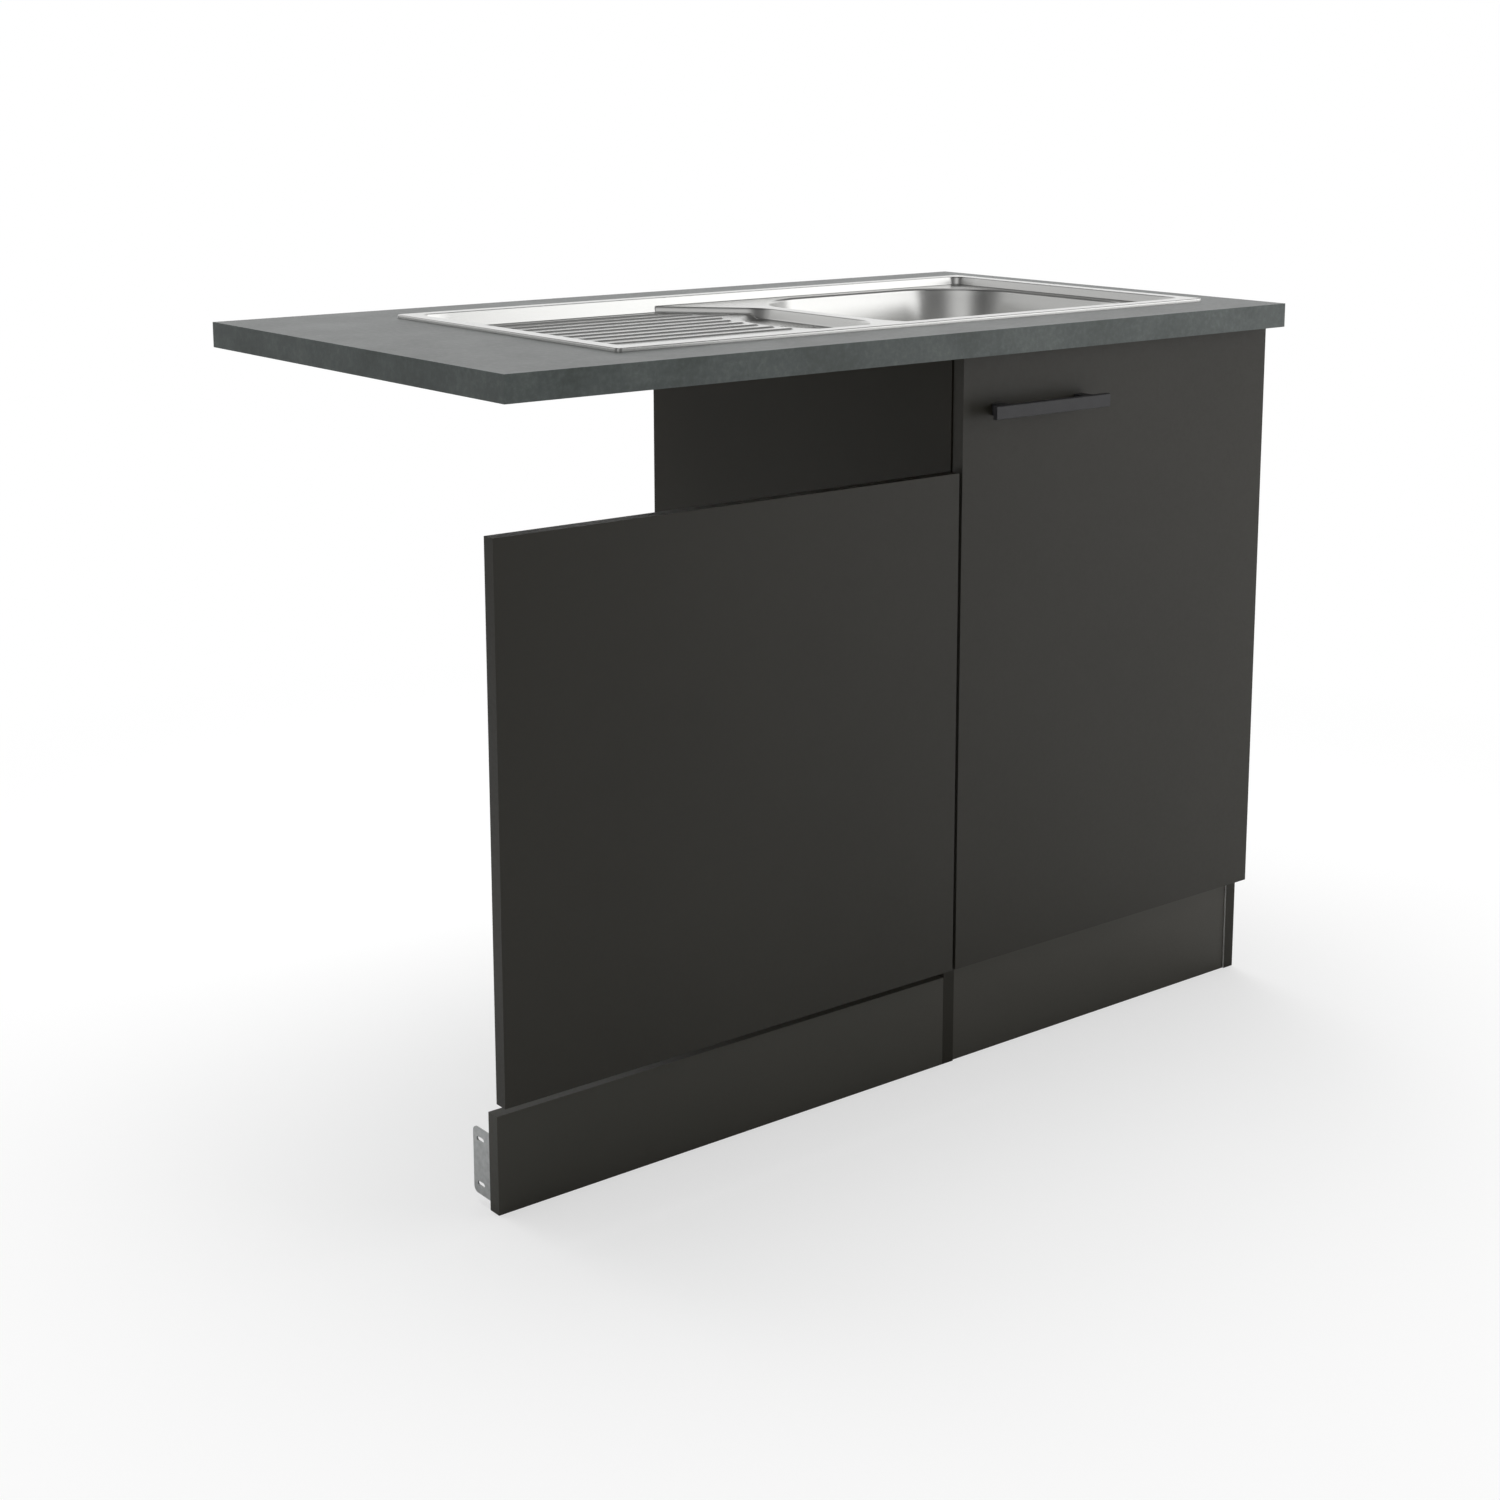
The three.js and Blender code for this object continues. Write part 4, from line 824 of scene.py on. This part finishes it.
def waste_trap_cup():
    """The moulded cup under the waste hole, with a ribbed union nut round its outlet."""
    top = WASTE_SEAT - SHEET - GASKET
    floor = top - CUP_DEPTH
    end = floor - SPIGOT_LENGTH
    body = turned([(56, top), (56, top - 2.5), (50, top - 2.5), (48.6, top - 3.4), (47.5, top - 6),
                   (46.2, floor + 10), (44, floor + 4), (39, floor + 0.6), (34, floor), (21, floor),
                   (20, floor - 1.2), (20, end), (17.5, end), (17.5, floor - 1), (33, floor + 2.5),
                   (38, floor + 3), (42, floor + 6), (43.8, floor + 12), (45, top)], 96)
    nut = fluted([(20.2, floor - 3, 0), (27.5, floor - 3, 0), (28.5, floor - 4, 1),
                  (28.5, floor - 17, 1), (27, floor - 18, 0), (20.2, floor - 18, 0)], 24, 1.2, 192)
    made_piece("waste_cup_and_nut", [moved(part, *WASTE_CENTRE) for part in (body, nut)],
               waste_plastic, "unit", "waste_body")


waste_flange()
strainer_basket()
overflow_rosette()
waste_trap_cup()


# ---------------------------------------------------------------- hinges

SCREW_HEAD = [(0, -0.6), (3.8, -0.6), (3.8, 0.3), (3.4, 0.9), (2.6, 1.4), (1.7, 1.6), (1.4, 0.5),
              (0, 0.3)]

# Which of a shape's own axes become X, Y and Z.
HEIGHT_ALONG_Y = (0, 2, 1)
HEIGHT_ALONG_X = (2, 0, 1)


def screw_head(x, y, z, axes, rise):
    """A domed screw head with a recess for the driver. Rise makes it flatter, or turns it the other
    way along its own line."""
    profile = [(radius, height * rise) for radius, height in SCREW_HEAD]
    return moved(turned(profile, 32, closed=False), x, y, z, axes)


def node_box(name):
    """The lowest and highest corner of one of the model's nodes, in millimetres."""
    return [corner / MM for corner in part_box(name)]


def hinge_piece(name, place, shapes, body):
    """One of a hinge's nickel-plated parts, lower or upper."""
    made_piece(f"{name}_and_screws_{place}", shapes, nickel, body, f"{name}_{place}")


def hinge_cup(place):
    """A drawn cup sunk in the door, with two flange wings, each held by a screw that lies low enough
    to clear the cabinet."""
    low, high = node_box(f"hinge_cup_{place}")
    x, z = (low.x + high.x) / 2, (low.z + high.z) / 2
    bottom, top = low.y, high.y
    profile = [(0, bottom), (13.2, bottom), (15.6, bottom + 0.8), (17.0, bottom + 2.8),
               (17.3, top - 1.1), (17.5, top - 0.9), (17.5, top - 0.3), (17.2, top), (16.6, top),
               (16.2, top - 0.4), (16.1, bottom + 3.2), (15.0, bottom + 1.6), (12.8, bottom + 0.9),
               (0, bottom + 0.9)]
    shapes = [moved(turned(profile, 72, closed=False), x, 0, z, HEIGHT_ALONG_Y)]
    for side in (-1, 1):
        near, far = sorted((z + side * 14.5, z + side * 31))
        wing = rounded_polygon(rectangle(x - 11, x + 11, near, far, 5))
        shapes.append(moved(plate(wing, [], top - 1, top - 0.1, 0.25), axes=HEIGHT_ALONG_Y))
        shapes.append(screw_head(x, top, z + side * 24, HEIGHT_ALONG_Y, 0.22))
    hinge_piece("hinge_cup", place, shapes, "door")


def hinge_arm(place):
    """The arm: a pressed channel that narrows towards the cup, with its two setting screws."""
    low, high = node_box(f"hinge_arm_{place}")
    z = (low.z + high.z) / 2
    outline = rounded_polygon([(low.y, z - 4.4, 1.5), (low.y + 24, low.z, 30), (high.y, low.z, 3),
                               (high.y, high.z, 3), (low.y + 24, high.z, 30), (low.y, z + 4.4, 1.5)])
    shapes = [moved(plate(outline, [], high.x, low.x, 0.5), axes=HEIGHT_ALONG_X)]
    for along in (low.y + 31, low.y + 54):
        shapes.append(screw_head(low.x, along, z, HEIGHT_ALONG_X, -1))
    hinge_piece("hinge_arm", place, shapes, "unit")


def hinge_plate(place):
    """The cross-shaped plate on the cabinet side: a raised body and two wings with a screw each."""
    low, high = node_box(f"hinge_plate_{place}")
    y, z = (low.y + high.y) / 2, (low.z + high.z) / 2
    body = rounded_polygon(rectangle(low.y, high.y, z - 9, z + 9, 2.5))
    wings = rounded_polygon(rectangle(y - 9, y + 9, low.z, high.z, 5))
    shapes = [moved(plate(body, [], high.x, low.x, 0.5), axes=HEIGHT_ALONG_X),
              moved(plate(wings, [], high.x, high.x - 2, 0.3), axes=HEIGHT_ALONG_X)]
    for side in (-1, 1):
        shapes.append(screw_head(high.x - 2, y, z + side * 16, HEIGHT_ALONG_X, -1))
    hinge_piece("hinge_plate", place, shapes, "unit")


for place in ("lower", "upper"):
    hinge_cup(place)
    hinge_arm(place)
    hinge_plate(place)


# ---------------------------------------------------------------- stage

FLOOR_HALF = 14.0
FLOOR_LIFT = 0.6  # how much of the floor near the unit is plain white to the camera
FLOOR_FADE = (0.7, 1.9)  # metres from the middle, from there on more and then all of it

# The dome's level round about, from the left end by the front, the right end and the back to the
# left end again, and its level from the horizon up to overhead.
DOME_AROUND = ((0.0, 0.06), (0.035, 0.12), (0.075, 0.5), (0.12, 0.5), (0.18, 0.12), (0.3, 0.1),
               (0.42, 0.35), (0.52, 0.6), (0.62, 0.65), (0.72, 0.6), (0.85, 0.5), (0.94, 0.15),
               (1.0, 0.06))
DOME_UPWARDS = ((0.0, 1.0), (0.34, 1.0), (0.48, 0.15), (0.88, 0.15), (0.96, 1.0))
DOME_STRENGTH = 1.8


def floor_paint():
    """The studio floor: near-white matt paint. The camera sees it half lit from within and running
    out into plain white, so that it stays white and still keeps the unit's shadow, softly."""
    made = Surface("studio_floor", "#f4f4f4", 0.9, specular=0.1)
    place = made.add("ShaderNodeTexCoord").outputs["Object"]
    reach = made.add("ShaderNodeVectorMath", {0: place}, operation="LENGTH").outputs["Value"]
    lift = made.range(reach, FLOOR_LIFT, 1.0, *FLOOR_FADE)
    camera_ray = made.add("ShaderNodeLightPath").outputs["Is Camera Ray"]
    blend = made.add("ShaderNodeMath", {0: camera_ray, 1: lift}, operation="MULTIPLY").outputs[0]
    glow = made.add("ShaderNodeEmission", None, {"Color": (1, 1, 1, 1), "Strength": 1.0})
    mixed = made.add("ShaderNodeMixShader", {0: blend, 1: made.shader.outputs[0], 2: glow.outputs[0]})
    made.tree.links.new(mixed.outputs[0], made.tree.nodes["Material Output"].inputs["Surface"])
    return made.material


def studio_floor():
    """A wide plain floor, a hair below the unit so that the two never share a surface."""
    mesh = bpy.data.meshes.new("studio_floor")
    corners = [(-1, -1), (1, -1), (1, 1), (-1, 1)]
    mesh.from_pydata([(x * FLOOR_HALF, y * FLOOR_HALF, 0) for x, y in corners], [], [(0, 1, 2, 3)])
    floor = bpy.data.objects.new("studio_floor", mesh)
    floor.location.z = -0.0005
    scene.collection.objects.link(floor)
    mesh.materials.append(floor_paint())


def soft_light(name, place, aim, size, power, glossy=True):
    """A rectangular softbox that the camera doesn't see, and that steel mirrors only if glossy."""
    lamp = bpy.data.lights.new(name, "AREA")
    lamp.shape = "RECTANGLE"
    lamp.size, lamp.size_y = size
    lamp.energy = power
    holder = bpy.data.objects.new(name, lamp)
    holder.location = place
    holder.rotation_euler = (Vector(aim) - Vector(place)).to_track_quat("-Z", "Y").to_euler()
    holder.visible_camera = False
    holder.visible_glossy = glossy
    scene.collection.objects.link(holder)


def studio_world():
    """Plain white behind the unit for the camera. For light and reflections, a dome that is brightest
    low down on the right and at the back, as from two large screens, and dim at the left front."""
    world = bpy.data.worlds.new("studio_dome")
    scene.world = world
    world.use_nodes = True
    tree = world.node_tree
    tree.nodes.clear()

    def node(kind, links=None, sockets=None, **settings):
        return add_node(tree, kind, links, sockets, **settings)

    def grey_ramp(value, stops):
        ramp = node("ShaderNodeValToRGB", {"Fac": value})
        return fill_ramp(ramp, [(position, (level, level, level, 1)) for position, level in stops])

    way = node("ShaderNodeTexCoord").outputs["Generated"]
    turn = node("ShaderNodeTexGradient", {"Vector": way}, gradient_type="RADIAL")
    height = node("ShaderNodeSeparateXYZ", {"Vector": way}).outputs["Z"]
    round_about = grey_ramp(turn.outputs["Fac"], DOME_AROUND)
    up_and_down = grey_ramp(height, DOME_UPWARDS)
    both = node("ShaderNodeMix", {6: round_about, 7: up_and_down}, {0: 1.0}, data_type="RGBA",
                blend_type="MULTIPLY")
    dome = node("ShaderNodeBackground", {"Color": both.outputs[2]}, {"Strength": DOME_STRENGTH})
    white = node("ShaderNodeBackground", None, {"Color": (1, 1, 1, 1), "Strength": 1.0})
    camera_ray = node("ShaderNodeLightPath").outputs["Is Camera Ray"]
    pick = node("ShaderNodeMixShader", {0: camera_ray, 1: dome.outputs[0], 2: white.outputs[0]})
    node("ShaderNodeOutputWorld", {"Surface": pick.outputs[0]})


def camera():
    """Near the photo's view. The photo was taken level with a large shift, which every other view
    would keep; this camera has a third of that shift and looks down, so its uprights converge."""
    data = bpy.data.cameras.new("photo_camera")
    data.lens = 57.8
    data.sensor_width = 36
    data.shift_x = -0.0162
    data.shift_y = -0.15
    data.clip_end = 60
    eye = bpy.data.objects.new("photo_camera", data)
    eye.location = (-1.726, -2.170, 1.121)
    eye.rotation_euler = (math.radians(79.33), 0, math.radians(-38.61))
    scene.collection.objects.link(eye)
    scene.camera = eye


studio_floor()
studio_world()
soft_light("overhead_softbox", (0.1, 0.7, 3.0), (0, 0, 0.6), (2.6, 2.6), 105, glossy=False)
soft_light("right_softbox", (1.75, -1.65, 1.2), (0.1, 0, 0.7), (1.9, 2.4), 19)
camera()
scene.view_settings.view_transform = "Standard"
